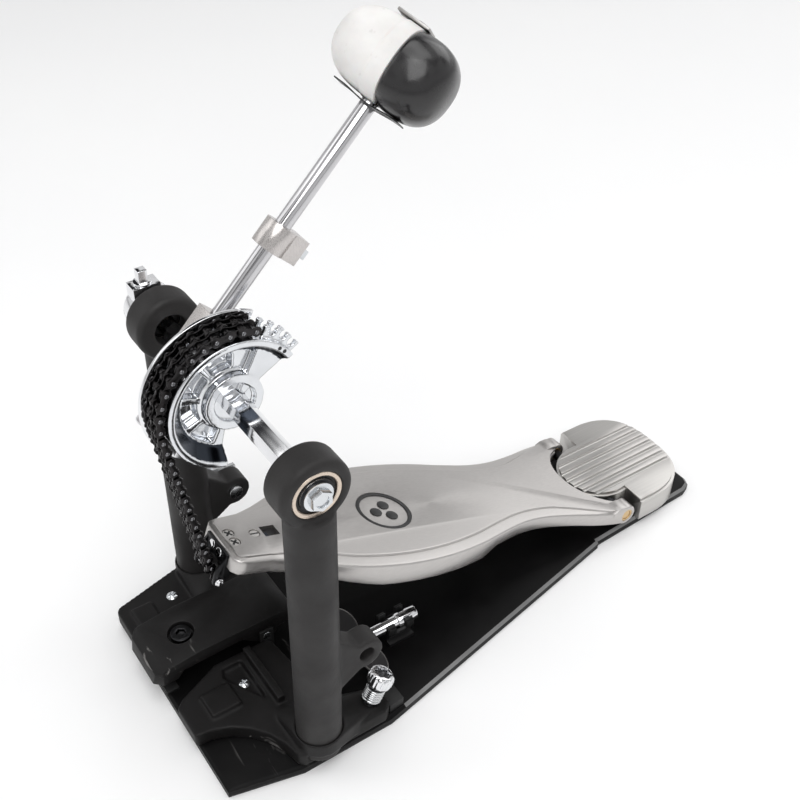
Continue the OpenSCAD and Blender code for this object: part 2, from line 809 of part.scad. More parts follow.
module outer_link(tail_pin) {
    for (x = [[-6.2, -5.55], [-0.8, 0.8], [5.55, 6.2]]) along_x(x[0], x[1]) pin_plate2();
    bar_x(-6.8, 6.8, chain_pin_r);
    if (tail_pin) bar_x(-6.8, 6.8, chain_pin_r, pitch, 0);
}

module inner_link() {
    for (s = [-1, 1]) {
        for (x = [1.15, 4.65]) along_x(s > 0 ? x : -x - 0.6, s > 0 ? x + 0.6 : -x) plate2();
        for (y = [0, pitch]) along_x(s > 0 ? 1.7 : -4.7, s > 0 ? 4.7 : -1.7) translate([y, 0])
            difference() {
                circle(r = roller_r, $fn = 24);
                circle(r = chain_pin_r + shaft_gap, $fn = 16);
            }
    }
}

// Link number i along the wrap, counted from the fixed end
module wrap_link(i) {
    a0 = chain_first - i * step_a;
    link([pin_at(a0)[0], pin_at(a0)[1] + shaft_z], a0 - step_a / 2 - 90, i % 2 == 0);
}

module chain_wrap() {
    color("#2a2726") for (i = [0 : fixed_links - 1]) wrap_link(i);
}

module chain_link_1() {
    color("#262423") wrap_link(fixed_links);
}

module chain_link_2() {
    color("#262423") wrap_link(fixed_links + 1);
}

module chain_link_3() {
    color("#262423") wrap_link(fixed_links + 2);
}

module chain_link_4() {
    color("#262423") wrap_link(fixed_links + 3);
}

module chain_link_5() {
    color("#262423") wrap_link(fixed_links + 4);
}

module chain_link_6() {
    color("#262423") wrap_link(fixed_links + 5);
}

module chain_run() {
    start = pin_at(chain_first - (fixed_links + free_links) * step_a);
    lean = -90 - run_lean;
    color("#262423") for (i = [0 : run_links - 1])
        link([start[0] + i * pitch * cos(lean), shaft_z + start[1] + i * pitch * sin(lean)], lean, i % 2 == 0);
}

// ---------- beater ----------

holder_x0 = flange_x + 2.0;

module beater_holder() {
    color("#cfd0d2") difference() {
        union() {
            on_shaft() along_x(holder_x0, rod_x + 9) difference() {
                translate([-11, -12]) square([27, 36]);
                translate([-15, 17]) rotate(45) square([8, 12], center = true);
                translate([16, -12]) rotate(45) square([5, 5], center = true);
            }
            translate([0, 0, shaft_z]) bar_x(rod_x + 7, rod_x + 15, 9.5);
        }
        translate([0, 0, shaft_z]) hex_bore(0, 60);
        on_rod() translate([0, 0, -60]) cylinder(r = rod_d / 2 + shaft_gap, h = 120);
        on_shaft(rod_x - 7.6) rotate([90, 0, 0]) rotate([0, 0, 20]) translate([0, 0, 1]) cylinder(r = 2.6, h = 30);
    }
}

module holder_screw() {
    color("#d5d5d8") on_shaft(rod_x - 7.6) translate([0, -11, 0]) rotate([90, 0, 0]) {
        translate([0, 0, 0.02]) cylinder(r = 5.2, h = 1.5);
        translate([0, 0, -5.2]) cylinder(r = 2.6, h = 6);
        translate([0, 0, 1.5]) cylinder(r = 4.2, h = 12);
        translate([0, 0, 13]) cylinder(r = 3.2, h = 2.5);
    }
}

rod_low = -37;
rod_high = head_s + 36;

module beater_rod() {
    color("#e6e6e8") on_rod() {
        translate([0, 0, rod_low + 1]) cylinder(r = rod_d / 2, h = rod_high - rod_low - 1);
        translate([0, 0, rod_low]) cylinder(r1 = rod_d / 2 - 1, r2 = rod_d / 2, h = 1 + e);
    }
}

lock_s = 62;

module memory_lock() {
    color("#b9b4ab") on_rod() translate([0, 0, lock_s]) difference() {
        union() {
            cylinder(r = 8, h = 12.5);
            translate([-6.5, -13.5, 0]) cube([13, 12, 12.5]);
        }
        translate([0, 0, -1]) cylinder(r = rod_d / 2 + 0.03, h = 20);
        translate([0, 0, 6.25]) rotate([90, 0, 0]) cylinder(r = 2, h = 20);
    }
}

module lock_screw() {
    color("#c9c6c0") on_rod() translate([0, -13.5 - 0.02, lock_s + 6.25]) rotate([90, 0, 0]) {
        key_screw(4.6, 5, 4.2, 2, 8.5);
    }
}

head_r = 20.4;
head_half = 19;
white_len = 29.8;
black_len = 28.7;
seam = 3.5;

// Half of the head, turned about its own axis, cut flat for the cradle and the cap
module head_half_body(profile, side) {
    translate([0, 0, head_s + head_half]) difference() {
        intersection() {
            rotate([side * -90, 0, 0]) rotate_extrude($fn = 64) polygon(profile);
            translate([-40, -40, -head_half]) cube([80, 80, 2 * head_half]);
        }
        translate([0, 0, -60]) cylinder(r = rod_d / 2 + 0.02, h = 120);
    }
}

function round_end(start, len, r, corner, dome) = concat([[0, start], [r - 0.4, start]],
    [for (a = [0 : 15 : 90]) [r - corner + corner * cos(a), len - dome - corner + corner * sin(a)]],
    [[(r - corner) * 0.5, len - dome * 0.25], [0, len]]);

module in_head() {
    on_rod() rotate([0, 0, -head_turn]) children();
}

module head_felt() {
    color("#e9e7e2") in_head() head_half_body(round_end(0.15 - seam, white_len, head_r, 13.5, 1.3), 1);
}

module head_rubber() {
    color("#1d1c1e") in_head() head_half_body(round_end(0.15 + seam, black_len, head_r + 1, 13, 1.5), -1);
}

// Slotted steel strip under the head
module head_cradle() {
    color("#18181a") in_head() translate([0, 0, head_s - 1.8]) difference() {
        linear_extrude(1.78) difference() {
            translate([-6.5, -17.2]) square([13, 35]);
            for (y = [-13, 8]) translate([-2, y]) square([4, 7]);
        }
        translate([0, 0, -3]) cylinder(r = rod_d / 2 + 0.02, h = 9);
    }
}

// Flat cap plate on top of the head, held by the rod's end screw
module head_cap() {
    color("#9c9a97") in_head() translate([0, 0, head_s + 2 * head_half + 0.02]) {
        translate([-6.5, -5]) cube([13, 17, 1.4]);
        translate([0, 0, 1.4 - e]) cylinder(r = 3.6, h = 0.6);
    }
}

// ---------- return spring ----------

rocker_x0 = hub_out + 1.2;
rocker_x1 = rocker_x0 + 9;
shaft_end = rocker_x1 + 1.8;

module spring_rocker() {
    color("#d6d7da") translate([0, 0, shaft_z]) difference() {
        union() {
            bar_x(rocker_x0, rocker_x1, 12.8);
            along_x(rocker_x0 + 2, rocker_x1 - e) {
                rotate(rocker_rest) translate([0, -6.5]) square([rocker_r, 13]);
                rotate(rocker_rest) translate([rocker_r, 0]) circle(r = 6.5);
            }
            translate([rocker_x0, -4.5, 8]) cube([rocker_x1 - rocker_x0, 14, 8]);
        }
        bar_x(rocker_x0 - 1, rocker_x1 + 1, 4.62);
        rotate([rocker_rest, 0, 0]) bar_x(rocker_x0 - 1, rocker_x1 + 1, 2.52, rocker_r, 0);
        translate([(rocker_x0 + rocker_x1) / 2, 3, 0]) cylinder(r = 2.52, h = 30);
    }
}

module rocker_screw() {
    color("#cfcfd2") translate([(rocker_x0 + rocker_x1) / 2, 3, shaft_z + 16.02]) key_screw(4.8, 6.5, 4.6, 2.5, 10.5);
}

module rocker_pin() {
    color("#c4c5c8") translate([0, 0, shaft_z]) rotate([rocker_rest, 0, 0])
        bar_x(rocker_x0 + 1, rocker_x1 + 5, 2.5, rocker_r, 0);
}

pin_z = shaft_z + rocker_r * sin(rocker_rest);
coil_top = pin_z - 18;
coil_low = 98;

// Flat eye that hangs on the rocker's pin and holds the spring's top end
module spring_hook() {
    x0 = rocker_x1 + 0.4;
    color("#c9c9cc") translate([x0, spring_y, 0]) difference() {
        union() {
            block([0, -4, coil_top + 2], [2.6, 4, pin_z - 4]);
            translate([0, 0, pin_z - 0.8]) rotate([0, 90, 0]) cylinder(r = 6.4, h = 2.6);
            translate([0, 0, coil_top + e]) block([-3, -5, 0], [5.6, 5, 3]);
        }
        translate([-1, 0, pin_z - 0.8]) rotate([0, 90, 0]) cylinder(r = 4.2, h = 9);
    }
}

// The coil drawn as stacked turns
module return_spring() {
    coils = 16;
    rise = (coil_top - coil_low) / coils;
    color("#c2c3c6") translate([spring_x, spring_y, 0]) for (i = [0 : coils - 1])
        translate([0, 0, coil_low + (i + 0.5) * rise]) rotate_extrude($fn = 24) translate([6, 0]) circle(r = 1.3, $fn = 16);
}

module spring_bracket() {
    x0 = post_x + ear_t / 2;
    color("#b7b8bb") difference() {
        union() {
            block([x0 + 0.02, ear_y - 7, ear_z - 7], [x0 + 3, ear_y + 7, ear_z + 7]);
            block([x0 + 0.02, spring_y - 8.5, ear_z - 7], [spring_x + 6, spring_y + 7, ear_z + 5]);
            bar_x(x0 - ear_t - 1.5, x0 + 1, 3.98, ear_y, ear_z);
        }
        bar_z(ear_z - 20, ear_z + 20, 3.1, spring_x, spring_y);
    }
}

module spring_rod() {
    color("#cdced0") translate([spring_x, spring_y, 0]) {
        bar_z(ear_z - 26, coil_low - 3, 3);
        bar_z(coil_low - 3 - e, coil_low - 0.02, 6);
    }
}

module spring_nuts() {
    color("#bdbec1") translate([spring_x, spring_y, 0]) difference() {
        union() {
            bar_z(ear_z - 12, ear_z - 7.02, 6.4);
            translate([0, 0, ear_z + 5.02]) cylinder(r = 6, h = 4, $fn = 6);
            translate([0, 0, ear_z - 16]) cylinder(r = 6, h = 4 + e, $fn = 6);
        }
        bar_z(0, 200, 3.02);
    }
}

rubber_underlay();
base_plate();
left_foot();
right_foot();
left_post();
right_post();
left_bearing();
right_bearing();
side_brackets();
foot_screws();
heel_plate();
heel_screws();
hinge_pin();
clamp_lever();
clamp_screw();
clamp_pin();
clamp_pads();
key_clip();
key_clip_screw();
drum_key();
left_spur();
right_spur();
spur_springs();
footboard();
board_emblem();
toe_screws();
hinge_bushes();
chain_anchor();
anchor_screws();
hex_shaft();
axle_screws();
sprocket();
sprocket_rim();
sprocket_screw();
chain_wrap();
chain_link_1();
chain_link_2();
chain_link_3();
chain_link_4();
chain_link_5();
chain_link_6();
chain_run();
beater_holder();
holder_screw();
spring_rocker();
rocker_screw();
rocker_pin();
return_spring();
spring_hook();
spring_bracket();
spring_rod();
spring_nuts();
beater_rod();
memory_lock();
lock_screw();
head_felt();
head_rubber();
head_cradle();
head_cap();
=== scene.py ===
import bpy
import bmesh
import json
import math
from mathutils import Matrix, Vector

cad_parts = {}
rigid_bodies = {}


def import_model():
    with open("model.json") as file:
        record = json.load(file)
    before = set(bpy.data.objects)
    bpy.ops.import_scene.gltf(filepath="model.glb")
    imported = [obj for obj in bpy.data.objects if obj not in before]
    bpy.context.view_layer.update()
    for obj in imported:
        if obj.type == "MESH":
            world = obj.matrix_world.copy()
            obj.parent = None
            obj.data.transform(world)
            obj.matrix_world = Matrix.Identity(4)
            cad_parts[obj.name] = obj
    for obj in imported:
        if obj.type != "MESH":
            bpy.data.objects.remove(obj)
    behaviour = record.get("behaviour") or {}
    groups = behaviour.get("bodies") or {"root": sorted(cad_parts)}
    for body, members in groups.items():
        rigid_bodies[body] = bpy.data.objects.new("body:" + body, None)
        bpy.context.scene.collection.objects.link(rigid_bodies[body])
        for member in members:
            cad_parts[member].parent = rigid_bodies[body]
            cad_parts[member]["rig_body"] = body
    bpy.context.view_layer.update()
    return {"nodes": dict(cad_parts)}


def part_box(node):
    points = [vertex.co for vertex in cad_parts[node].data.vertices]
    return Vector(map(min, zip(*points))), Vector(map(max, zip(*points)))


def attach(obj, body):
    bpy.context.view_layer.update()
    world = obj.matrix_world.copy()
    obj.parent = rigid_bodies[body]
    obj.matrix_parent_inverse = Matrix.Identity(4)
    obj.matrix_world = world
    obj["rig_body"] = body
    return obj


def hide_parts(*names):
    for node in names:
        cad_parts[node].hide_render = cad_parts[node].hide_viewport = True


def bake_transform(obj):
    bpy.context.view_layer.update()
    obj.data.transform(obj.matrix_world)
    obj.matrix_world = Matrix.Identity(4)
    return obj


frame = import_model()
NODES = frame["nodes"]
MM = 0.001

# The pedal's main sizes in millimetres, as in the CAD model
SHAFT_Z = 188.0
HINGE = (0.0, -236.0, 15.3)
BOARD_ANGLE = math.radians(18.8)
ROD_X, ROD_OFF, ROD_TILT = 26.0, 10.0, math.radians(44.5)
PITCH = 6.35
LINK_TURN = 10  # degrees from one link to the next around the cam
CHAIN_R = PITCH / (2 * math.sin(math.radians(LINK_TURN / 2)))
RUN_LEAN = 9.41
SPUR = (65, -31, 14.5)
SPUR_TILT = math.radians(25.6)
KEY_X, KEY_Z = -28.6, 15
KEY_TIP_Y, WING_Y = -40, -48
HEAD_TURN = math.radians(-58)
HEAD_AT, CRADLE_AT = 159, 140  # distances along the rod
BELLY = 4.5


# ---------- materials ----------


class Nodes:
    """Short hand for building a shader's node tree."""

    def __init__(self, name):
        self.m = bpy.data.materials.new(name)
        self.m.use_nodes = True
        self.t = self.m.node_tree
        self.t.nodes.clear()
        self.out = self.t.nodes.new("ShaderNodeOutputMaterial")
        self.bsdf = self.t.nodes.new("ShaderNodeBsdfPrincipled")
        self.t.links.new(self.bsdf.outputs[0], self.out.inputs[0])
        self.coord = self.t.nodes.new("ShaderNodeTexCoord").outputs["Object"]

    def link(self, a, b):
        self.t.links.new(a, b)

    def noise(self, scale, detail=3.0, stretch=None, rough=0.5, turn=(0, 0, 0), distortion=0.0):
        n = self.t.nodes.new("ShaderNodeTexNoise")
        n.inputs["Scale"].default_value = scale
        n.inputs["Detail"].default_value = detail
        n.inputs["Roughness"].default_value = rough
        n.inputs["Distortion"].default_value = distortion
        m = self.t.nodes.new("ShaderNodeMapping")
        m.inputs["Scale"].default_value = stretch or (1, 1, 1)
        m.inputs["Rotation"].default_value = turn
        self.link(self.coord, m.inputs["Vector"])
        self.link(m.outputs[0], n.inputs["Vector"])
        return n.outputs["Fac"]

    def remap(self, value, lo, hi, out_lo, out_hi):
        n = self.t.nodes.new("ShaderNodeMapRange")
        for i, v in enumerate((lo, hi, out_lo, out_hi)):
            n.inputs[i + 1].default_value = v
        self.link(value, n.inputs[0])
        return n.outputs[0]

    def math(self, op, a, b):
        n = self.t.nodes.new("ShaderNodeMath")
        n.operation = op
        n.use_clamp = True
        for socket, v in zip(n.inputs, (a, b)):
            if isinstance(v, float):
                socket.default_value = v
            else:
                self.link(v, socket)
        return n.outputs[0]

    def mix(self, factor, a, b):
        n = self.t.nodes.new("ShaderNodeMix")
        n.data_type = "RGBA"
        self.link(factor, n.inputs["Factor"])
        for key, v in ((6, a), (7, b)):
            if isinstance(v, tuple):
                n.inputs[key].default_value = (*v, 1)
            else:
                self.link(v, n.inputs[key])
        return n.outputs[2]

    def edges(self, radius):
        """About 1 on sharp outer edges, 0 on flat faces."""
        b = self.t.nodes.new("ShaderNodeBevel")
        b.samples = 4
        b.inputs["Radius"].default_value = radius
        g = self.t.nodes.new("ShaderNodeNewGeometry")
        d = self.t.nodes.new("ShaderNodeVectorMath")
        d.operation = "DOT_PRODUCT"
        self.link(b.outputs[0], d.inputs[0])
        self.link(g.outputs["Normal"], d.inputs[1])
        return self.remap(d.outputs["Value"], 0.985, 0.86, 0.0, 1.0)

    def bump(self, height, strength, distance):
        b = self.t.nodes.new("ShaderNodeBump")
        b.inputs["Strength"].default_value = strength
        b.inputs["Distance"].default_value = distance
        self.link(height, b.inputs["Height"])
        previous = self.bsdf.inputs["Normal"].links
        if previous:
            self.link(previous[0].from_socket, b.inputs["Normal"])
        self.link(b.outputs[0], self.bsdf.inputs["Normal"])

    def set(self, **values):
        for key, v in values.items():
            self.bsdf.inputs[key.replace("_", " ")].default_value = v


def powder_coat(name, dark, light, rough, grain=0.00005, scuffs=0.0, worn_edge=0.35, shine=0.3):
    """Black powder coat: orange peel, dusty variation, rubbed edges and pale scuffs."""
    n = Nodes(name)
    n.bsdf.inputs["Specular IOR Level"].default_value = shine
    tone = n.remap(n.noise(38, 4), 0.35, 0.7, 0, 1)
    colour = n.mix(tone, dark, light)
    rub = n.math("MULTIPLY", n.edges(0.0007), n.remap(n.noise(160, 4), 0.42, 0.62, 0, worn_edge))
    colour = n.mix(rub, colour, (0.16, 0.155, 0.15))
    if scuffs:
        streak = n.noise(95, 6, stretch=(0.35, 1.6, 1), turn=(0, 0, 0.6), distortion=1.2)
        line = n.remap(streak, 0.63, 0.72, 0, 1)
        patch = n.remap(n.noise(16, 2), 0.54, 0.64, 0, scuffs)
        colour = n.mix(n.math("MULTIPLY", line, patch), colour, (0.33, 0.32, 0.31))
    n.link(colour, n.bsdf.inputs["Base Color"])
    n.link(n.remap(n.noise(60, 5), 0.3, 0.7, rough - 0.08, rough + 0.1), n.bsdf.inputs["Roughness"])
    n.bump(n.noise(2600, 2), 0.5, grain)
    n.bump(n.noise(420, 3), 0.35, grain * 1.6)
    return n.m


def bright_metal(name, colour, rough, micro=0.00001, tint=None, grime=0.25, wave=0.0):
    """Plated metal: slight haze, fine wear and darker plating in random patches."""
    n = Nodes(name)
    tone = n.remap(n.noise(55, 4), 0.35, 0.75, 0, grime)
    dark = tint or tuple(c * 0.62 for c in colour)
    n.link(n.mix(tone, colour, dark), n.bsdf.inputs["Base Color"])
    haze = n.noise(90, 6, rough=0.65)
    n.link(n.remap(haze, 0.35, 0.75, rough, rough + 0.1), n.bsdf.inputs["Roughness"])
    n.set(Metallic=1.0)
    n.bump(n.noise(1500, 3), 0.3, micro)
    if wave:
        n.bump(n.noise(110, 2), 0.4, wave)
    return n.m


def brushed_metal(name, colour, rough, stretch, depth=0.00002, aniso=0.4):
    """Metal brushed along one direction, with a few deeper scratches."""
    n = Nodes(name)
    fine = n.noise(1, 3, stretch=stretch)
    coarse = n.noise(1, 2, stretch=tuple(s * 0.23 for s in stretch))
    cloud = n.noise(14, 3)
    tone = n.math("MULTIPLY", n.remap(fine, 0.3, 0.7, 0.2, 1), n.remap(cloud, 0.3, 0.7, 0.45, 1))
    n.link(n.mix(tone, tuple(c * 0.84 for c in colour), colour), n.bsdf.inputs["Base Color"])
    n.link(n.remap(fine, 0.25, 0.75, rough - 0.07, rough + 0.09), n.bsdf.inputs["Roughness"])
    n.set(Metallic=1.0, Anisotropic=aniso)
    n.bump(fine, 0.5, depth)
    n.bump(coarse, 0.3, depth * 1.5)
    return n.m


def plain(name, colour, rough, grain, scale=900, coat=0.0):
    """Moulded plastic, rubber, print and the black used as painted shade, all with fine grain."""
    n = Nodes(name)
    tone = n.remap(n.noise(45, 4), 0.3, 0.7, 0, 0.25)
    n.link(n.mix(tone, colour, tuple(c * 0.6 for c in colour)), n.bsdf.inputs["Base Color"])
    n.link(n.remap(n.noise(70, 4), 0.3, 0.7, rough - 0.05, rough + 0.08), n.bsdf.inputs["Roughness"])
    n.set(Coat_Weight=coat)
    n.bump(n.noise(scale, 3), 0.4, grain)
    return n.m


def white_beater(name):
    """Cream felt-like half: soft fibres, handled marks, slight yellowing."""
    n = Nodes(name)
    tone = n.remap(n.noise(50, 5), 0.38, 0.66, 0, 1)
    base = n.mix(tone, (0.79, 0.78, 0.765), (0.69, 0.675, 0.66))
    spot = n.remap(n.noise(210, 4), 0.64, 0.7, 0, 0.35)
    n.link(n.mix(spot, base, (0.52, 0.5, 0.47)), n.bsdf.inputs["Base Color"])
    n.link(n.remap(n.noise(120, 4), 0.3, 0.7, 0.5, 0.72), n.bsdf.inputs["Roughness"])
    n.set(Subsurface_Weight=0.08, Subsurface_Scale=0.002)
    n.bump(n.noise(520, 5), 0.5, 0.0001)
    n.bump(n.noise(90, 3), 0.35, 0.00035)
    return n.m


MAT = {
    "casting": powder_coat("powder_coat_casting", (0.0055, 0.005, 0.005), (0.011, 0.0103, 0.0105),
                           0.5, 0.00007, 0.7, shine=0.22),
    "post": powder_coat("powder_coat_post", (0.017, 0.0158, 0.0158), (0.026, 0.0245, 0.0242),
                        0.55, 0.00008),
    "plate": powder_coat("powder_coat_plate", (0.0022, 0.0021, 0.0023), (0.0045, 0.0043, 0.0044),
                         0.42, 0.00003, 0.2, shine=0.12),
    # pale grey copy of the black plate coat, used as a painted highlight on the base plate's chamfer
    "plate_painted_highlight": powder_coat("powder_coat_painted_highlight", (0.15, 0.15, 0.15), (0.21, 0.21, 0.21),
                              0.4, 0.00003),
    "rubber": plain("black_rubber", (0.006, 0.006, 0.0062), 0.62, grain=0.00006, scale=1500),
    "beater_rubber": plain("beater_rubber", (0.011, 0.0102, 0.011), 0.27, grain=0.00003, scale=700,
                           coat=0.2),
    "nylon": plain("black_nylon", (0.008, 0.008, 0.0082), 0.4, grain=0.00004, scale=1200),
    # black print, also used as painted shade in screw slots, a screw recess and the sprocket's holes
    "ink_and_painted_shade": plain("black_print_and_painted_shade", (0.009, 0.009, 0.01), 0.4, grain=0.00001),
    "chrome": bright_metal("chrome", (0.82, 0.825, 0.84), 0.05),
    "cast_chrome": bright_metal("cast_chrome", (0.76, 0.775, 0.8), 0.09, 0.00002, grime=0.4,
                                wave=0.0005),
    "smoke": powder_coat("smoked_blade", (0.03, 0.029, 0.03), (0.045, 0.043, 0.044), 0.35, 0.00002),
    "rod_chrome": bright_metal("rod_chrome", (0.6, 0.595, 0.61), 0.09),
    # dark chrome, also used as painted shade on the sprocket's inner cone
    "dark_chrome_and_painted_shade": bright_metal("dark_chrome_and_painted_shade", (0.045, 0.052, 0.065), 0.1, 0.00002, grime=0.5),
    "zinc": bright_metal("zinc_plate", (0.72, 0.74, 0.76), 0.16, 0.00002, tint=(0.42, 0.45, 0.48)),
    "nickel": brushed_metal("satin_nickel", (0.63, 0.6, 0.585), 0.27, (2600, 2600, 150), 0.000006,
                            aniso=0.2),
    "bearing": brushed_metal("bearing_race", (0.74, 0.63, 0.53), 0.3, (500, 1500, 1500), 0.000006,
                             aniso=0.1),
    "aluminium": brushed_metal("satin_aluminium", (0.6, 0.58, 0.565), 0.36, (1900, 26, 900), 0.00001),
    "heel_aluminium": brushed_metal("satin_aluminium_heel", (0.62, 0.605, 0.585), 0.36,
                                    (1900, 26, 900), 0.00001),
    "bronze": bright_metal("bronze", (0.68, 0.5, 0.28), 0.25, 0.00002),
    "chain": bright_metal("oiled_black_steel", (0.04, 0.038, 0.039), 0.24, 0.00003,
                          tint=(0.016, 0.014, 0.014), grime=0.8),
    "chain_pin": bright_metal("chain_pin", (0.2, 0.2, 0.21), 0.2, 0.00002,
                              tint=(0.09, 0.088, 0.086)),
    "spring": bright_metal("spring_steel", (0.66, 0.67, 0.68), 0.2, 0.00002),
    "cap": brushed_metal("grey_cap", (0.42, 0.41, 0.4), 0.34, (700, 90, 700)),
    # black oxide, also used as painted shade on the hex shaft's end faces
    "black_oxide_and_painted_shade": bright_metal("black_oxide_and_painted_shade", (0.035, 0.035, 0.037), 0.32, 0.00002, grime=0.4),
    "white": white_beater("white_felt"),
}


# ---------- mesh helpers ----------


def evaluated(obj):
    """Bakes the object's modifiers into its mesh."""
    bpy.context.view_layer.update()
    graph = bpy.context.evaluated_depsgraph_get()
    mesh = bpy.data.meshes.new_from_object(obj.evaluated_get(graph))
    old = obj.data
    obj.modifiers.clear()
    obj.data = mesh
    bpy.data.meshes.remove(old)
    return obj


def new_object(name, mesh, material=None):
    obj = bpy.data.objects.new(name, mesh)
    bpy.context.scene.collection.objects.link(obj)
    if material:
        mesh.materials.clear()
        mesh.materials.append(MAT[material])
    return obj


def shade(obj, angle):
    for p in obj.data.polygons:
        p.use_smooth = True
    obj.data.set_sharp_from_angle(angle=math.radians(angle))
    return obj


def bevel(obj, width, segments=2, angle=32):
    m = obj.modifiers.new("bevel", "BEVEL")
    m.width = width * MM
    m.segments = segments
    m.limit_method = "ANGLE"
    m.angle_limit = math.radians(angle)
    m.harden_normals = False
    return evaluated(obj)


def clean_copy(node):
    """The CAD node's mesh with its triangles joined back into faces."""
    mesh = NODES[node].data.copy()
    bm = bmesh.new()
    bm.from_mesh(mesh)
    bmesh.ops.remove_doubles(bm, verts=bm.verts, dist=2e-6)
    bmesh.ops.dissolve_limit(bm, angle_limit=math.radians(0.6), verts=bm.verts, edges=bm.edges)
    bm.to_mesh(mesh)
    bm.free()
    return mesh


def set_piece(obj, node):
    """Lets the object ride on the node's body and stand in for the node."""
    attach(obj, NODES[node]["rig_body"])
    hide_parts(node)
    return obj


def refined(node, material, width):
    """The CAD piece with rounded edges."""
    obj = new_object(node + "_piece", clean_copy(node), material)
    bevel(obj, width)
    shade(obj, 38)
    return set_piece(obj, node)


def cast(node, material, voxel=0.8, smooth=4):
    """The CAD piece as a casting: every corner softened and every inner corner filleted."""
    obj = new_object(node + "_piece", clean_copy(node), material)
    m = obj.modifiers.new("remesh", "REMESH")
    m.mode = "VOXEL"
    m.voxel_size = voxel * MM
    s = obj.modifiers.new("smooth", "SMOOTH")
    s.factor = 0.5
    s.iterations = smooth
    evaluated(obj)
    for p in obj.data.polygons:
        p.use_smooth = True
    return set_piece(obj, node)


def from_lists(name, verts, faces, material):
    mesh = bpy.data.meshes.new(name)
    mesh.from_pydata([tuple(c * MM for c in v) for v in verts], [], faces)
    mesh.validate()
    mesh.update()
    return new_object(name, mesh, material)


def join(name, objs):
    """Joins loose objects into one mesh and keeps each one's material."""
    bm = bmesh.new()
    mesh = bpy.data.meshes.new(name)
    for o in objs:
        start = len(bm.faces)
        part = o.data
        part.transform(o.matrix_world)
        bm.from_mesh(part)
        bm.faces.ensure_lookup_table()
        for m in part.materials:
            if m.name not in mesh.materials:
                mesh.materials.append(m)
        index = [list(mesh.materials).index(m) for m in part.materials]
        for f in bm.faces[start:]:
            f.material_index = index[min(f.material_index, len(index) - 1)] if index else 0
    bm.to_mesh(mesh)
    bm.free()
    for o in objs:
        bpy.data.objects.remove(o)
    return new_object(name, mesh)


def recalc(obj):
    """Turns every face outwards."""
    bm = bmesh.new()
    bm.from_mesh(obj.data)
    bmesh.ops.recalc_face_normals(bm, faces=bm.faces)
    bm.to_mesh(obj.data)
    bm.free()
    return obj


def lathe(name, profile, matrix, material, seg=64):
    """Turns a profile of (radius, height) in millimetres about local Z."""
    verts, faces, rings = [], [], []
    for r, z in profile:
        if r < 1e-6:
            rings.append([len(verts)])
            verts.append((0, 0, z))
        else:
            rings.append(list(range(len(verts), len(verts) + seg)))
            around = [2 * math.pi * i / seg for i in range(seg)]
            verts += [(r * math.cos(a), r * math.sin(a), z) for a in around]
    for a, b in zip(rings, rings[1:]):
        for i in range(seg):
            j = (i + 1) % seg
            if len(a) == 1:
                faces.append((a[0], b[j], b[i]))
            elif len(b) == 1:
                faces.append((a[i], a[j], b[0]))
            else:
                faces.append((a[i], a[j], b[j], b[i]))
    obj = from_lists(name, verts, faces, material)
    obj.data.transform(matrix)
    return recalc(obj)


def at(x, y, z):
    return Matrix.Translation(Vector((x, y, z)) * MM)


def turn(angle, axis):
    return Matrix.Rotation(angle, 4, axis)


BOARD = at(*HINGE) @ turn(BOARD_ANGLE, "X")
ROD = at(ROD_X, 0, SHAFT_Z) @ turn(ROD_TILT, "X") @ at(0, ROD_OFF, 0)


def spur_place(s):
    """Place and tilt of the left (-1) or right (1) spur screw."""
    return at(s * SPUR[0], SPUR[1], SPUR[2]) @ turn(SPUR_TILT, "X")


# ---------- solids from outlines ----------


def inset(loop, d, weights=None):
    """Moves the corners of a closed counter-clockwise outline inwards by d.

    Past 1 mm each corner moves only by its own weight.
    """
    out = []
    n = len(loop)
    for i in range(n):
        a, b, c = Vector(loop[i - 1]), Vector(loop[i]), Vector(loop[(i + 1) % n])
        e0, e1 = (b - a).normalized(), (c - b).normalized()
        n0, n1 = Vector((-e0.y, e0.x)), Vector((-e1.y, e1.x))
        m = n0 + n1
        depth = min(d, 1) + max(d - 1, 0) * weights[i] if weights else d
        k = depth / max(0.35, 1 + n0.dot(n1)) if m.length > 1e-6 else 0
        out.append((b.x + m.x * k, b.y + m.y * k))
    return out


def stack(name, loop, steps, material, matrix=None, weights=None):
    """A closed solid from one outline drawn at several (inset, height) steps."""
    n = len(loop)
    verts, faces = [], []
    for d, z in steps:
        verts += [(x, y, z) for x, y in (inset(loop, d, weights) if d else loop)]
    for k in range(len(steps) - 1):
        for i in range(n):
            j = (i + 1) % n
            faces.append((k * n + i, k * n + j, (k + 1) * n + j, (k + 1) * n + i))
    faces.append(tuple(reversed(range(n))))
    faces.append(tuple(range((len(steps) - 1) * n, len(steps) * n)))
    obj = from_lists(name, verts, faces, material)
    if matrix:
        obj.data.transform(matrix)
    return recalc(obj)


def edge_steps(z0, z1, r):
    """Steps for a slab from z0 to z1 with both edges rounded to radius r."""
    n = 3
    arc = [math.pi / 2 * i / n for i in range(n + 1)]
    low = [(r - r * math.sin(a), z0 + r - r * math.cos(a)) for a in arc]
    high = [(r - r * math.cos(a), z1 - r + r * math.sin(a)) for a in arc]
    return low + high


def cut(obj, cutters, operation="DIFFERENCE"):
    for c in cutters:
        m = obj.modifiers.new("cut", "BOOLEAN")
        m.operation = operation
        m.solver = "EXACT"
        m.object = c
        evaluated(obj)
        bpy.data.objects.remove(c)
    return obj


def box_piece(name, lo, hi, material):
    (x0, y0, z0), (x1, y1, z1) = lo, hi
    loop = [(x0, y0), (x1, y0), (x1, y1), (x0, y1)]
    return stack(name, loop, [(0, z0), (0, z1)], material)


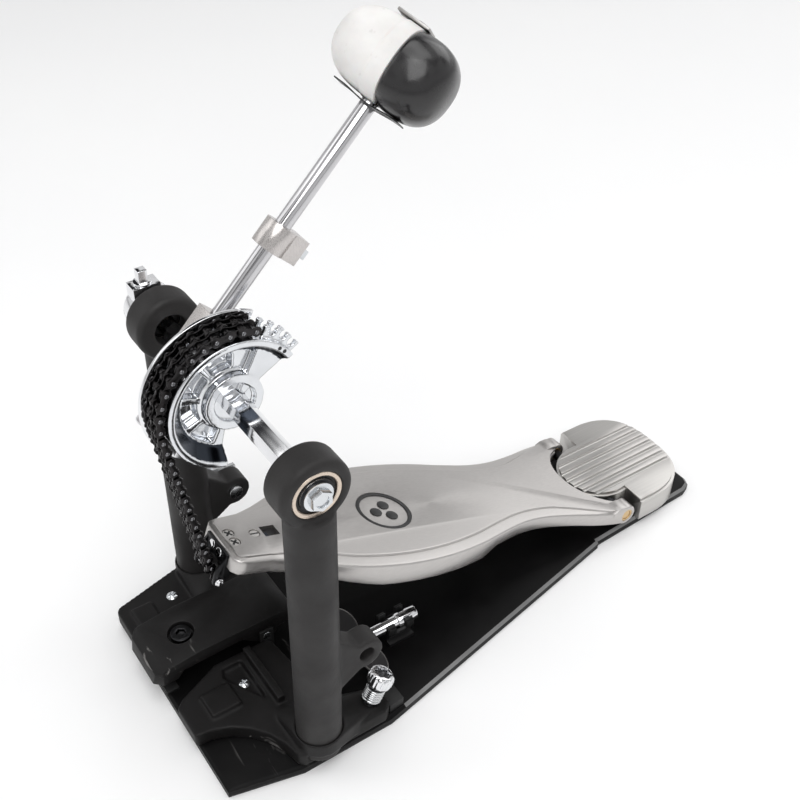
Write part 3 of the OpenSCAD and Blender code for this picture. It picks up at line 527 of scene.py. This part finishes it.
def coil(name, radius, wire, z0, z1, turns, matrix, material):
    """A wound spring with its two end turns closed."""
    per, ring = 30, 10
    steps = int(turns * per)
    verts, faces = [], []
    closed = 2.2 * wire  # pitch of each end turn
    rise = (z1 - z0 - 2 * wire - 2 * closed) / (turns - 2)
    for i in range(steps + 1):
        t = i / per
        a = 2 * math.pi * t
        z = closed * (min(t, 1) + min(max(t - turns + 1, 0), 1)) + rise * min(max(t - 1, 0), turns - 2)
        c = Vector((radius * math.cos(a), radius * math.sin(a), z0 + wire + z))
        out = Vector((math.cos(a), math.sin(a), 0))
        for k in range(ring):
            b = 2 * math.pi * k / ring
            p = c + out * (wire * math.cos(b)) + Vector((0, 0, wire * math.sin(b)))
            verts.append(tuple(p))
    for i in range(steps):
        for k in range(ring):
            j = (k + 1) % ring
            faces.append((i * ring + k, i * ring + j, (i + 1) * ring + j, (i + 1) * ring + k))
    faces.append(tuple(range(ring)))
    faces.append(tuple(reversed(range(steps * ring, (steps + 1) * ring))))
    obj = from_lists(name, verts, faces, material)
    obj.data.transform(matrix)
    return shade(recalc(obj), 50)


def thread(name, root, top, pitch, z0, z1, matrix, material, seg=36):
    """A screw thread as one turned surface with closed ends."""
    rows = int((z1 - z0) / pitch * 6)
    verts, faces = [], []
    for r in range(rows + 1):
        z = z0 + (z1 - z0) * r / rows
        fade = min(1, r / 6, (rows - r) / 6)
        for k in range(seg):
            phase = ((z - z0) / pitch - k / seg) % 1
            h = 1 - abs(2 * phase - 1)
            rad = root + (top - root) * min(1, h * 1.25) * fade
            a = 2 * math.pi * k / seg
            verts.append((rad * math.cos(a), rad * math.sin(a), z))
    for r in range(rows):
        for k in range(seg):
            j = (k + 1) % seg
            faces.append((r * seg + k, r * seg + j, (r + 1) * seg + j, (r + 1) * seg + k))
    faces.append(tuple(reversed(range(seg))))
    faces.append(tuple(range(rows * seg, (rows + 1) * seg)))
    obj = from_lists(name, verts, faces, material)
    obj.data.transform(matrix)
    return shade(recalc(obj), 60)


# ---- chain ----


def clean_outline():
    """Figure-eight side plate: two round ends and a narrow waist."""
    r, waist = 2.6, 1.6
    pts = []
    for cx, start in ((PITCH, -90), (0.0, 90)):
        for i in range(13):
            a = math.radians(start + 15 * i)
            pts.append((cx + r * math.cos(a), r * math.sin(a)))
        sign = 1 if start < 0 else -1
        for i in range(1, 8):
            t = i / 8
            x = PITCH * (1 - t) if start < 0 else PITCH * t
            y = waist + (r - waist) * abs(2 * t - 1) ** 2.4
            pts.append((x, sign * y))
    return pts


LINK = clean_outline()
TO_YZ = Matrix(((0, 0, 1, 0), (1, 0, 0, 0), (0, 1, 0, 0), (0, 0, 0, 1)))


def side_plate(x0, x1):
    steps = [(0.22, x0), (0.06, x0 + 0.06), (0, x0 + 0.2),
             (0, x1 - 0.2), (0.06, x1 - 0.06), (0.22, x1)]
    return stack("side_plate", LINK, steps, "chain", TO_YZ)


def outer_link():
    parts = [side_plate(-6.25, -5.5), side_plate(-0.8, 0.8), side_plate(5.5, 6.25)]
    half = [(0.88, 6.2), (1.1, 6.2), (1.1, 6.45), (0.95, 6.72), (0.55, 6.92), (0, 6.95)]
    pin = [(r, -x) for r, x in reversed(half)] + half
    for y in (0, PITCH):
        parts.append(lathe("pin", pin, TO_YZ @ at(y, 0, 0), "chain_pin", 16))
    return parts


def inner_link():
    parts = []
    roller = [(0.96, 1.75), (1.4, 1.78), (1.6, 1.95), (1.6, 4.45), (1.4, 4.62), (0.96, 4.65)]
    for s in (-1, 1):
        for x in (1.1, 4.6):
            a, b = sorted((s * x, s * (x + 0.7)))
            parts.append(side_plate(a, b))
        for y in (0, PITCH):
            flip = Matrix.Identity(4) if s > 0 else Matrix.Diagonal((1, 1, -1, 1))
            place = TO_YZ @ at(y, 0, 0) @ flip
            parts.append(recalc(lathe("roller", roller + [roller[0]], place, "chain", 18)))
    return parts


def chain(node, links):
    """One piece from links, each given as (y, z, angle, outer or not) of its first pin."""
    parts = []
    for y, z, angle, outer in links:
        m = at(0, y, z) @ turn(angle, "X")
        for p in outer_link() if outer else inner_link():
            p.data.transform(m)
            parts.append(p)
    obj = join(node + "_detail", parts)
    shade(obj, 35)
    return set_piece(obj, node)


def wrap_place(i):
    """Place of link i around the cam, counted from the end that is fixed to the cam."""
    a = math.radians(110 - LINK_TURN * i)
    lean = a - math.radians(90 + LINK_TURN / 2)
    return (CHAIN_R * math.cos(a), SHAFT_Z + CHAIN_R * math.sin(a), lean, i % 2 == 0)


def build_chain():
    chain("chain_wrap", [wrap_place(i) for i in range(6)])
    for i in range(6):
        chain(f"chain_link_{i + 1}", [wrap_place(6 + i)])
    y, z, _, _ = wrap_place(12)
    lean = math.radians(-90 - RUN_LEAN)
    run = [(y + i * PITCH * math.cos(lean), z + i * PITCH * math.sin(lean), lean, i % 2 == 0)
           for i in range(15)]
    chain("chain_run", run)


# ---- footboard ----

# half outline as (half width, distance from the hinge)
EDGE = [(38, -5.5), (38.2, 6), (36, 22), (31.5, 42), (28.4, 62), (29, 80), (33, 99), (38, 119),
        (41.3, 140), (42.2, 160), (40.8, 180), (36.8, 200), (30, 218), (22.6, 234), (18.8, 245)]
TOE = 263.6
NOSE_Y, NOSE_R = -7, 28.8  # the round notch around the heel plate


def spline(p, n):
    out = []
    for i in range(len(p) - 1):
        a, b, c, d = p[max(i - 1, 0)], p[i], p[i + 1], p[min(i + 2, len(p) - 1)]
        for k in range(n):
            t = k / n
            out.append(tuple(
                0.5 * (2 * b[j] + (c[j] - a[j]) * t + (2 * a[j] - 5 * b[j] + 4 * c[j] - d[j]) * t * t
                       + (3 * b[j] - a[j] - 3 * c[j] + d[j]) * t ** 3) for j in (0, 1)))
    return out + [p[-1]]


def board_loop():
    side = [q for q in spline(EDGE, 6) if q[1] > 0.6]
    side += [(17.8, TOE - 6.5), (16.9, TOE - 2.6), (13.6, TOE)]
    right = [(29, 0), (38.08, 0)] + side
    left = [(-x, y) for x, y in reversed(right)]
    start = math.asin((1 - NOSE_Y) / NOSE_R)
    arc = []
    for i in range(25):
        a = math.pi - start - (math.pi - 2 * start) * i / 24
        arc.append((NOSE_R * math.cos(a), NOSE_Y + NOSE_R * math.sin(a)))
    return right + left + [(-29, 1)] + arc + [(29, 1)]


def half_width(s):
    pts = spline(EDGE, 6)
    for (x0, y0), (x1, y1) in zip(pts, pts[1:]):
        if y0 <= s <= y1:
            return x0 + (x1 - x0) * (s - y0) / (y1 - y0)
    return 18


def belly(y):
    """How much deeper the side wall is at distance y from the hinge."""
    t = min(1, max(0, (y - 104) / 10)) * min(1, max(0, (226 - y) / 40))
    return BELLY * t


def circle(r, n=48):
    return [(r * math.cos(2 * math.pi * i / n), r * math.sin(2 * math.pi * i / n)) for i in range(n)]


SLOTTED_Y = TOE - 19
CROSS_X, CROSS_Y = 3.4, TOE - 6


def build_board():
    loop = board_loop()
    # wall, rounded shoulder, wide sloping rim, groove, tread
    steps = [(0.9, -6), (0.3, -5.7), (0, -5.1), (0, 1.2), (0.14, 1.85), (0.5, 2.35), (1.0, 2.55),
             (1.9, 2.66), (3.6, 2.86), (5.4, 3.06), (6.6, 3.14), (6.8, 2.95), (7.05, 2.95),
             (7.2, 3.3), (7.4, 3.75), (7.8, 3.95), (8.4, 4.0)]
    # the rim hardly moves in beside the hinge lugs, and narrows towards the toe
    weights = []
    for x, y in loop:
        if math.hypot(x, y - NOSE_Y) < 30 or y < 10:
            weights.append(0.05)
        else:
            toe = 1 if y < 225 else max(0.25, 1 - (y - 225) / 25)
            weights.append(min(1, 0.05 + (y - 10) / 45) * toe)
    body = stack("footboard_body", loop, steps, "aluminium", None, weights)
    for v in body.data.vertices:
        if v.co.z < -4.9 * MM:
            v.co.z -= belly(v.co.y / MM) * MM
    bm = bmesh.new()
    bm.from_mesh(body.data)
    bmesh.ops.triangulate(bm, faces=[f for f in bm.faces if len(f.verts) > 4], ngon_method="EAR_CLIP")
    bm.to_mesh(body.data)
    bm.free()
    adds, cuts = [], []
    ramp = [(-4, 0.1), (12, 0.1), (12, 2.4), (9, 4.9), (5, 6.0), (-2, 6.1), (-4.5, 4.2)]
    for s in (-1, 1):
        x0, x1 = sorted((s * 29, s * 38))
        adds.append(stack("knuckle", circle(6.6), edge_steps(x0, x1, 0.7), "aluminium", TO_YZ))
        adds.append(stack("lug", ramp, edge_steps(x0 + 0.04, x1 - 0.04, 0.6), "aluminium", TO_YZ))
    cut(body, adds, "UNION")
    ribs = (40, 74, 108, 142, 176, 210)
    for a, b in zip(ribs, ribs[1:]):
        ss = [a + 2 + (b - a - 4) * i / 6 for i in range(7)]
        side = [(0.86 * half_width(q) - 1, q) for q in ss]
        ring = side + [(-x, q) for x, q in reversed(side)]
        cuts.append(stack("pocket", ring, [(0, -13), (0, -3.2), (1.2, -2.6)], "aluminium"))
    cuts.append(box_piece("square_hole", (-3.8, TOE - 32, -9), (3.8, TOE - 23.5, 9), "aluminium"))
    emblem = [(0, 3.4), (16, 3.4), (16, 6), (0, 6)]
    cuts.append(lathe("emblem_seat", emblem, at(0, 163, 0), "aluminium", 96))
    seat = [(0, 3), (2.9, 3), (3.1, 6), (0, 6)]
    cuts.append(lathe("screw_seat", seat, at(0, SLOTTED_Y, 0), "aluminium", 40))
    seat = [(0, 2.8), (3.0, 2.8), (3.15, 6), (0, 6)]
    for s in (-1, 1):
        cuts.append(lathe("toe_seat", seat, at(s * CROSS_X, CROSS_Y, 0), "aluminium", 40))
        span = [(0, s * 33.5 - 8), (0, s * 33.5 + 8)]
        cuts.append(stack("bore", circle(4.2, 40), span, "aluminium", TO_YZ))
    cut(body, cuts)
    bevel(body, 0.22, 1, 50)
    pad = box_piece("window_pad", (-3.75, TOE - 31.95, -2.5), (3.75, TOE - 23.55, 1.6), "ink_and_painted_shade")
    tab = box_piece("window_tab", (-3.7, TOE - 26.5, 1.6), (0.6, TOE - 23.6, 2.6), "dark_chrome_and_painted_shade")
    body = join("footboard_body", [body, pad, tab])
    body.data.transform(BOARD)
    shade(body, 40)
    return set_piece(body, "footboard")


def build_toe_screws():
    head = [(0, 3.02), (2.75, 3.02), (2.8, 3.3), (2.5, 3.72), (0, 3.85)]
    parts = [lathe("slotted", head, at(0, SLOTTED_Y, 0), "heel_aluminium", 40)]
    # painted shade: a black bar laid on the head stands in for the dark screw slot
    parts.append(box_piece("slot", (-0.4, SLOTTED_Y - 2.3, 3.6), (0.4, SLOTTED_Y + 2.3, 3.87), "ink_and_painted_shade"))
    head = [(0, 2.82), (2.85, 2.82), (2.9, 3.1), (2.6, 3.6), (0, 3.72)]
    for s in (-1, 1):
        place = at(s * CROSS_X, CROSS_Y, 0)
        parts.append(lathe("cross_head", head, place, "heel_aluminium", 40))
        # painted shade: black crosses laid on the heads stand in for the dark cross recesses
        for a in (45, 135):
            arm = box_piece("arm", (-2.2, -0.55, 3.3), (2.2, 0.55, 3.76), "ink_and_painted_shade")
            arm.data.transform(place @ turn(math.radians(a), "Z"))
            parts.append(arm)
    obj = join("toe_screws_piece", parts)
    obj.data.transform(BOARD)
    return set_piece(shade(obj, 35), "toe_screws")


# ---- beater head ----

HEAD = ROD @ at(0, 0, HEAD_AT) @ turn(HEAD_TURN, "Z")


def head_half(node, material, rings, wide, high, side):
    """Half of the head: rings of (share of the full section, distance from the middle)."""
    seg, power = 96, 2.35
    section = []
    for k in range(seg):
        a = 2 * math.pi * k / seg
        c, q = math.cos(a), math.sin(a)
        x, z = (math.copysign(abs(v) ** (2 / power), v) for v in (c, q))
        section.append((wide * x, high * z))
    verts, faces = [], []
    for f, y in rings:
        verts += [(x * f, side * y, z * f) for x, z in section]
    n = len(rings)
    for r in range(n - 1):
        for k in range(seg):
            j = (k + 1) % seg
            faces.append((r * seg + k, r * seg + j, (r + 1) * seg + j, (r + 1) * seg + k))
    faces.append(tuple(range(seg)))
    faces.append(tuple(reversed(range((n - 1) * seg, n * seg))))
    obj = recalc(from_lists(node + "_piece", verts, faces, material))
    cut(obj, [lathe("bore", [(0, -30), (4.02, -30), (4.02, 30), (0, 30)], Matrix.Identity(4), material, 48)])
    obj.data.transform(HEAD)
    return set_piece(shade(obj, 40), node)


def rounded_end(r, start, length, power, wide):
    """Rings from the straight part at start to the closed tip at length."""
    out = []
    for i in range(1, 19):
        a = math.pi / 2 * i / 18.15
        share = r / wide * math.cos(a) ** (2 / power)
        out.append((share, start + (length - start) * math.sin(a) ** (2 / power)))
    return out


def build_head():
    wide, high = 20.2, 18.95
    white = [(19.6 / wide, -3.35), (20.05 / wide, -3.05), (1, -2.4), (1, 4.2), (0.996, 4.6),
             (0.978, 5.0), (0.975, 5.8)]
    head_half("head_felt", "white", white + rounded_end(19.7, 6.2, 29.8, 2.35, wide), wide, high, 1)
    wide = 21.3
    black = [(20.0 / wide, 3.65), (20.45 / wide, 3.95), (20.8 / wide, 5), (21.1 / wide, 7), (1, 9.5)]
    black += rounded_end(wide, 9.6, 28.7, 2.5, wide)
    head_half("head_rubber", "beater_rubber", black, wide, high, -1)
    build_cradle()


def build_cradle():
    """The thin strip under the head, bowed towards it, with a slot on each side of the rod."""
    verts, faces = [], []
    rows = 36
    for i in range(rows + 1):
        y = -17.2 + 35 * i / rows
        bow = 1.15 * (0.5 + 0.5 * math.cos(math.pi * min(1, abs(y) / 14)))
        half = [(6.3, -0.04), (6.5, -0.35), (6.3, -0.62)]
        verts += [(x, y, z - bow) for x, z in [(-x, z) for x, z in reversed(half)] + half]
    for i in range(rows):
        for k in range(6):
            j = (k + 1) % 6
            faces.append((i * 6 + k, i * 6 + j, (i + 1) * 6 + j, (i + 1) * 6 + k))
    faces += [tuple(reversed(range(6))), tuple(range(rows * 6, rows * 6 + 6))]
    strip = recalc(from_lists("head_cradle_piece", verts, faces, "nylon"))
    cuts = [lathe("bore", [(0, -5), (4.1, -5), (4.1, 3), (0, 3)], Matrix.Identity(4), "nylon", 40)]
    for y in (-9.5, 11.5):
        slot = []
        for side in (1, -1):
            for k in range(9):
                a = math.pi * k / 8
                slot.append((side * 2 * math.cos(a), y + side * (2 * math.sin(a) + 1.6)))
        cuts.append(stack("slot", slot, [(0, -5), (0, 3)], "nylon"))
    cut(strip, cuts)
    strip.data.transform(ROD @ at(0, 0, CRADLE_AT) @ turn(HEAD_TURN, "Z"))
    set_piece(shade(strip, 35), "head_cradle")


# ---- drum key ----


def build_key():
    m = at(KEY_X, KEY_TIP_Y, KEY_Z) @ turn(math.radians(90), "X")
    shaft = [(0, 0), (2.9, 0), (3.4, 0.5), (3.4, 32), (3.7, 32.4), (4.2, 33), (4.2, 44.5),
             (3.8, 45), (3.0, 45), (2.7, 44.6), (2.5, 38), (0, 38)]
    parts = [lathe("key_shaft", shaft, m, "chrome", 48)]
    for s in (-1, 1):
        loop = [(11.3 * x, 6.5 * y) for x, y in circle(1, 56)]
        steps = [(0.9, -0.7), (0.7, -0.85), (0.3, -0.9), (0.08, -0.7), (0, -0.4), (0, 0.4),
                 (0.08, 0.7), (0.3, 0.9), (0.5, 0.88), (0.65, 0.7)]
        wing = stack("wing", loop, steps, "cap", at(KEY_X + s * 14.8, WING_Y, KEY_Z))
        wing.data.materials.append(MAT["smoke"])
        for p in wing.data.polygons:
            if len(p.vertices) > 8:
                p.material_index = 1
        parts.append(wing)
    low, high = (KEY_X - 4.9, WING_Y - 4, KEY_Z - 0.9), (KEY_X + 4.9, WING_Y + 4, KEY_Z + 0.9)
    parts.append(box_piece("yoke", low, high, "post"))
    return set_piece(shade(join("drum_key_piece", parts), 40), "drum_key")


# ---- bearings, sprocket and other pieces with two materials ----


def build_bearing(node, s):
    m = at(s * 68.8, 0, SHAFT_Z) @ turn(math.radians(s * 90), "Y")
    ring = [(9.7, 0.3), (9.95, 0), (11.55, 0), (11.8, 0.25), (11.8, 6.1), (11.5, 6.4),
            (10.05, 6.4), (9.7, 6.0), (9.7, 0.3)]
    seal = [(8.25, 1.2), (9.68, 1.2), (9.68, 5.0), (9.1, 5.2), (8.25, 5.0), (8.25, 1.2)]
    parts = [lathe("race", ring, m, "bearing", 72), lathe("seal", seal, m, "rubber", 72)]
    return set_piece(shade(join(node + "_piece", parts), 35), node)


def repaint(obj, material, chosen):
    """Gives a second material to the polygons that chosen(centre, normal) picks."""
    obj.data.materials.append(MAT[material])
    last = len(obj.data.materials) - 1
    for p in obj.data.polygons:
        if chosen(p.center / MM, p.normal):
            p.material_index = last
    return obj


def radial(c):
    """The part of c that points away from the shaft."""
    return Vector((0, c.y, c.z - SHAFT_Z))


def build_sprocket():
    """The cam casting, painted shade on its inner cone and black discs painted as the shade inside two small
    holes on its rim.
    """
    obj = cast("sprocket", "cast_chrome", 0.55, 5)

    def on_cone(c, n):
        r = radial(c)
        return -7.6 < c.x < -0.7 and 24.8 < r.length < 30.8 and n.dot(r.normalized()) < -0.2

    # painted shade: the inward-facing faces of the inner cone, which lie in shadow, get dark chrome
    repaint(obj, "dark_chrome_and_painted_shade", on_cone)
    # painted shade: two thin black discs on the rim stand in for the dark insides of two small holes
    hole_shades = []
    for a in (134, 140):
        y, z = 31.85 * math.cos(math.radians(a)), SHAFT_Z + 31.6 * math.sin(math.radians(a))
        m = at(-8.02, y, z) @ turn(math.radians(90), "Y")
        hole_shades.append(lathe("hole", [(0, 0), (1.0, 0), (1.0, 0.3), (0, 0.3)], m, "ink_and_painted_shade", 24))
    set_piece(join("sprocket_hole_shades", hole_shades), "sprocket")


# ---- base plate ----


def build_plate():
    half = [(65, 51), (74, 13), (74, -40), (72, -50), (39, -214), (37.5, -214.5), (34, -291),
            (31.5, -297), (27, -299)]
    loop = [(-x, y) for x, y in half] + [(x, y) for x, y in reversed(half)]
    fine = []
    for i, p in enumerate(loop):
        q = loop[(i + 1) % len(loop)]
        n = max(1, int(math.dist(p, q) / 12))
        fine += [(p[0] + (q[0] - p[0]) * k / n, p[1] + (q[1] - p[1]) * k / n) for k in range(n)]
    steps = [(0.3, 1.5), (0, 1.8), (0, 4.1), (1.4, 5.4), (1.7, 5.5)]
    body = stack("base_plate_body", fine, steps, "plate")
    cuts = []
    screws = ((-17, 16, 1.7), (56, 22, 1.7), (-58, -12, 1.7), (58, -12, 1.7), (18, -261, 2.1),
              (-18, -261, 2.1), (19.5, 33, 3.2), (KEY_X, -72, 1.3))
    for x, y, r in screws:
        cuts.append(lathe("hole", [(0, 0.5), (r, 0.5), (r, 7), (0, 7)], at(x, y, 0), "plate", 24))
    for s in (-1, 1):
        bore = [(0, -25), (5.2, -25), (5.2, 5), (0, 5)]
        cuts.append(lathe("spur_hole", bore, spur_place(s), "plate", 32))
    cut(body, cuts)
    # painted highlight: the upward-sloping chamfer faces at the rear get pale grey
    body.data.materials.append(MAT["plate_painted_highlight"])
    for p in body.data.polygons:
        if 0.2 < p.normal.z < 0.97 and p.center.z > 0.004 and p.center.y < -0.052:
            p.material_index = 1
    shade(body, 25)
    return set_piece(body, "base_plate")


# ---- springs, spurs ----


def build_springs():
    x, y = 87, -17
    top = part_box("return_spring")[1].z
    obj = coil("return_spring_coil", 6, 1.3, 97.2, top / MM, 17.5, at(x, y, 0), "spring")
    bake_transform(obj)
    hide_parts("return_spring")
    coils = []
    for s in (-1, 1):
        coils.append(coil("spur_coil", 4.5, 0.85, 2.4, 12.6, 6.2, spur_place(s), "spring"))
    set_piece(shade(join("spur_spring_coils", coils), 50), "spur_springs")


def build_spur(node, s):
    m = spur_place(s)
    shank = thread(node + "_thread", 3.05, 3.5, 1.25, -9.5, 13.2, m, "black_oxide_and_painted_shade")
    point = [(0, -11.6), (0.5, -11.5), (1.3, -11.1), (3.0, -9.5), (3.0, -8.8), (0, -8.8)]
    tip = lathe("tip", point, m, "chrome", 32)
    # the fluted head, as (flute depth, radius, height)
    rows = [(0.0, 4.6, 13.0), (0.0, 5.6, 13.1), (0.3, 6.4, 13.6), (0.8, 6.85, 14.6), (1, 6.9, 15.4),
            (1, 6.9, 18.2), (0.8, 6.75, 19.3), (0.5, 6.4, 20.1), (0.2, 5.9, 20.6), (0, 5.2, 20.9)]
    seg = 96
    verts, faces = [], []
    for depth, r, z in rows:
        for k in range(seg):
            a = 2 * math.pi * k / seg
            flute = 0.62 * depth * max(0.0, math.cos(12 * a)) ** 1.5
            verts.append(((r - flute) * math.cos(a), (r - flute) * math.sin(a), z))
    star = [(4.1 + 0.75 * math.cos(6 * 2 * math.pi * k / seg)) for k in range(seg)]
    for z, g in ((20.9, 0.0), (20.6, 0.2), (17.2, 0.3)):
        for k in range(seg):
            a = 2 * math.pi * k / seg
            verts.append(((star[k] - g) * math.cos(a), (star[k] - g) * math.sin(a), z))
    total = len(rows) + 3
    for r in range(total - 1):
        for k in range(seg):
            j = (k + 1) % seg
            faces.append((r * seg + k, r * seg + j, (r + 1) * seg + j, (r + 1) * seg + k))
    faces.append(tuple(reversed(range(seg))))
    faces.append(tuple(range((total - 1) * seg, total * seg)))
    cap = from_lists("head", verts, faces, "chrome")
    cap.data.transform(m)
    recalc(cap)
    # painted shade: the floor of the star recess is painted black
    cap.data.materials.append(MAT["ink_and_painted_shade"])
    cap.data.polygons[len(cap.data.polygons) - 1].material_index = 1
    shade(cap, 35)
    shade(tip, 40)
    return set_piece(join(node + "_piece", [shank, tip, cap]), node)


# ---- everything else keeps its CAD outline with soft edges ----

CASTS = {"left_post": "post", "right_post": "post", "left_foot": "casting", "right_foot": "casting"}
PLAN = {
    "rubber_underlay": ("rubber", 0.3),
    "side_brackets": ("rubber", 0.8), "foot_screws": ("zinc", 0.2), "heel_plate": ("heel_aluminium", 0.6),
    "heel_screws": ("zinc", 0.2), "hinge_pin": ("bronze", 0.4), "clamp_lever": ("casting", 1.2),
    "clamp_screw": ("black_oxide_and_painted_shade", 0.3), "clamp_pin": ("zinc", 0.3), "clamp_pads": ("rubber", 0.4),
    "key_clip": ("nylon", 0.5), "key_clip_screw": ("zinc", 0.1),
    "board_emblem": ("ink_and_painted_shade", 0.1),
    "hinge_bushes": ("bronze", 0.2), "chain_anchor": ("black_oxide_and_painted_shade", 0.3), "anchor_screws": ("chrome", 0.35),
    "hex_shaft": ("chrome", 0.35), "axle_screws": ("zinc", 0.4),
    "sprocket_rim": ("chrome", 0.3), "sprocket_screw": ("zinc", 0.3),
    "beater_holder": ("nickel", 0.8), "holder_screw": ("chrome", 0.3),
    "spring_rocker": ("chrome", 0.7), "rocker_screw": ("chrome", 0.3), "rocker_pin": ("zinc", 0.3),
    "spring_hook": ("spring", 0.3), "spring_bracket": ("spring", 0.6),
    "spring_rod": ("zinc", 0.3), "spring_nuts": ("zinc", 0.3), "beater_rod": ("rod_chrome", 0.3),
    "memory_lock": ("nickel", 0.5), "lock_screw": ("zinc", 0.3),
    "head_cap": ("cap", 0.3),
}
for node, material in CASTS.items():
    cast(node, material)
made = {node: refined(node, material, width) for node, (material, width) in PLAN.items()}
# painted shade: the shaft's end faces inside the bearings are blackened so the bearing bores look dark
repaint(made["hex_shaft"], "black_oxide_and_painted_shade", lambda c, n: abs(n.x) > 0.9 and 73 < abs(c.x) < 76)
repaint(made["hinge_pin"], "black_oxide_and_painted_shade", lambda c, n: abs(c.x) < 36)
build_chain()
build_board()
build_toe_screws()
build_head()
build_key()
build_bearing("left_bearing", -1)
build_bearing("right_bearing", 1)
build_sprocket()
build_plate()
build_springs()
build_spur("left_spur", -1)
build_spur("right_spur", 1)


# ---------- studio ----------


def studio():
    floor = bpy.data.meshes.new("floor")
    s = 20.0
    floor.from_pydata([(-s, -s, 0), (s, -s, 0), (s, s, 0), (-s, s, 0)], [], [(0, 1, 2, 3)])
    n = Nodes("pale_floor")
    tone = n.remap(n.noise(3, 2), 0.3, 0.7, 0, 1)
    n.link(n.mix(tone, (0.97, 0.97, 0.97), (0.955, 0.955, 0.958)), n.bsdf.inputs["Base Color"])
    n.link(n.remap(n.noise(30, 3), 0.3, 0.7, 0.5, 0.6), n.bsdf.inputs["Roughness"])
    obj = bpy.data.objects.new("floor", floor)
    floor.materials.append(n.m)
    bpy.context.scene.collection.objects.link(obj)
    obj.location.z = -0.0002

    world = bpy.data.worlds.new("studio")
    bpy.context.scene.world = world
    world.use_nodes = True
    t = world.node_tree
    t.nodes.clear()
    out = t.nodes.new("ShaderNodeOutputWorld")
    back = t.nodes.new("ShaderNodeBackground")
    coord = t.nodes.new("ShaderNodeTexCoord")
    noise = t.nodes.new("ShaderNodeTexNoise")
    noise.inputs["Scale"].default_value = 2.3
    noise.inputs["Detail"].default_value = 1.0
    ramp = t.nodes.new("ShaderNodeValToRGB")
    ramp.color_ramp.elements[0].position = 0.45
    ramp.color_ramp.elements[0].color = (0.03, 0.03, 0.034, 1)
    ramp.color_ramp.elements[1].position = 0.56
    ramp.color_ramp.elements[1].color = (1, 1, 1, 1)
    t.links.new(coord.outputs["Generated"], noise.inputs["Vector"])
    t.links.new(noise.outputs["Fac"], ramp.inputs[0])
    # near the horizon the room is one pale wall; the dark flags hang overhead
    split = t.nodes.new("ShaderNodeSeparateXYZ")
    t.links.new(coord.outputs["Generated"], split.inputs[0])
    height = t.nodes.new("ShaderNodeMapRange")
    for i, v in enumerate((0.28, 0.42, 0.0, 1.0)):
        height.inputs[i + 1].default_value = v
    t.links.new(split.outputs["Z"], height.inputs[0])
    room = t.nodes.new("ShaderNodeMix")
    room.data_type = "RGBA"
    room.inputs[6].default_value = (0.93, 0.93, 0.935, 1)
    t.links.new(height.outputs[0], room.inputs["Factor"])
    t.links.new(ramp.outputs[0], room.inputs[7])
    t.links.new(room.outputs[2], back.inputs[0])
    back.inputs[1].default_value = 0.76
    t.links.new(back.outputs[0], out.inputs[0])

    aim = Vector((0, -0.08, 0.12))
    # name, place, size in metres, power in watts
    lights = (
        ("key", (-0.9, 0.5, 1.5), 1.1, 11),
        ("fill", (0.9, 0.9, 1.1), 1.0, 4),
        ("heel", (0.3, -1.4, 1.0), 1.0, 4),
        ("top", (0.0, -0.1, 1.9), 1.4, 11),
    )
    for name, place, size, power in lights:
        lamp = bpy.data.lights.new(name, "AREA")
        lamp.shape = "SQUARE"
        lamp.size = size
        lamp.energy = power
        o = bpy.data.objects.new(name, lamp)
        bpy.context.scene.collection.objects.link(o)
        o.location = place
        o.rotation_mode = "QUATERNION"
        o.rotation_quaternion = (aim - Vector(place)).to_track_quat("-Z", "Y")


def camera():
    cam = bpy.data.cameras.new("camera")
    cam.sensor_width = 36
    cam.lens = 51.75
    cam.clip_start = 0.01
    cam.dof.use_dof = False
    obj = bpy.data.objects.new("camera", cam)
    bpy.context.scene.collection.objects.link(obj)
    right = Vector((-0.5619, -0.827, 0.0165))
    forward = Vector((0.6327, -0.4425, -0.6355)).normalized()
    right = (right - forward * right.dot(forward)).normalized()
    up = right.cross(forward)
    rot = Matrix((right, up, -forward)).transposed().to_4x4()
    obj.matrix_world = Matrix.Translation((-0.3664, 0.1641, 0.5127)) @ rot
    bpy.context.scene.camera = obj


studio()
camera()
bpy.context.scene.view_settings.view_transform = "Standard"
bpy.context.scene.view_settings.look = "None"
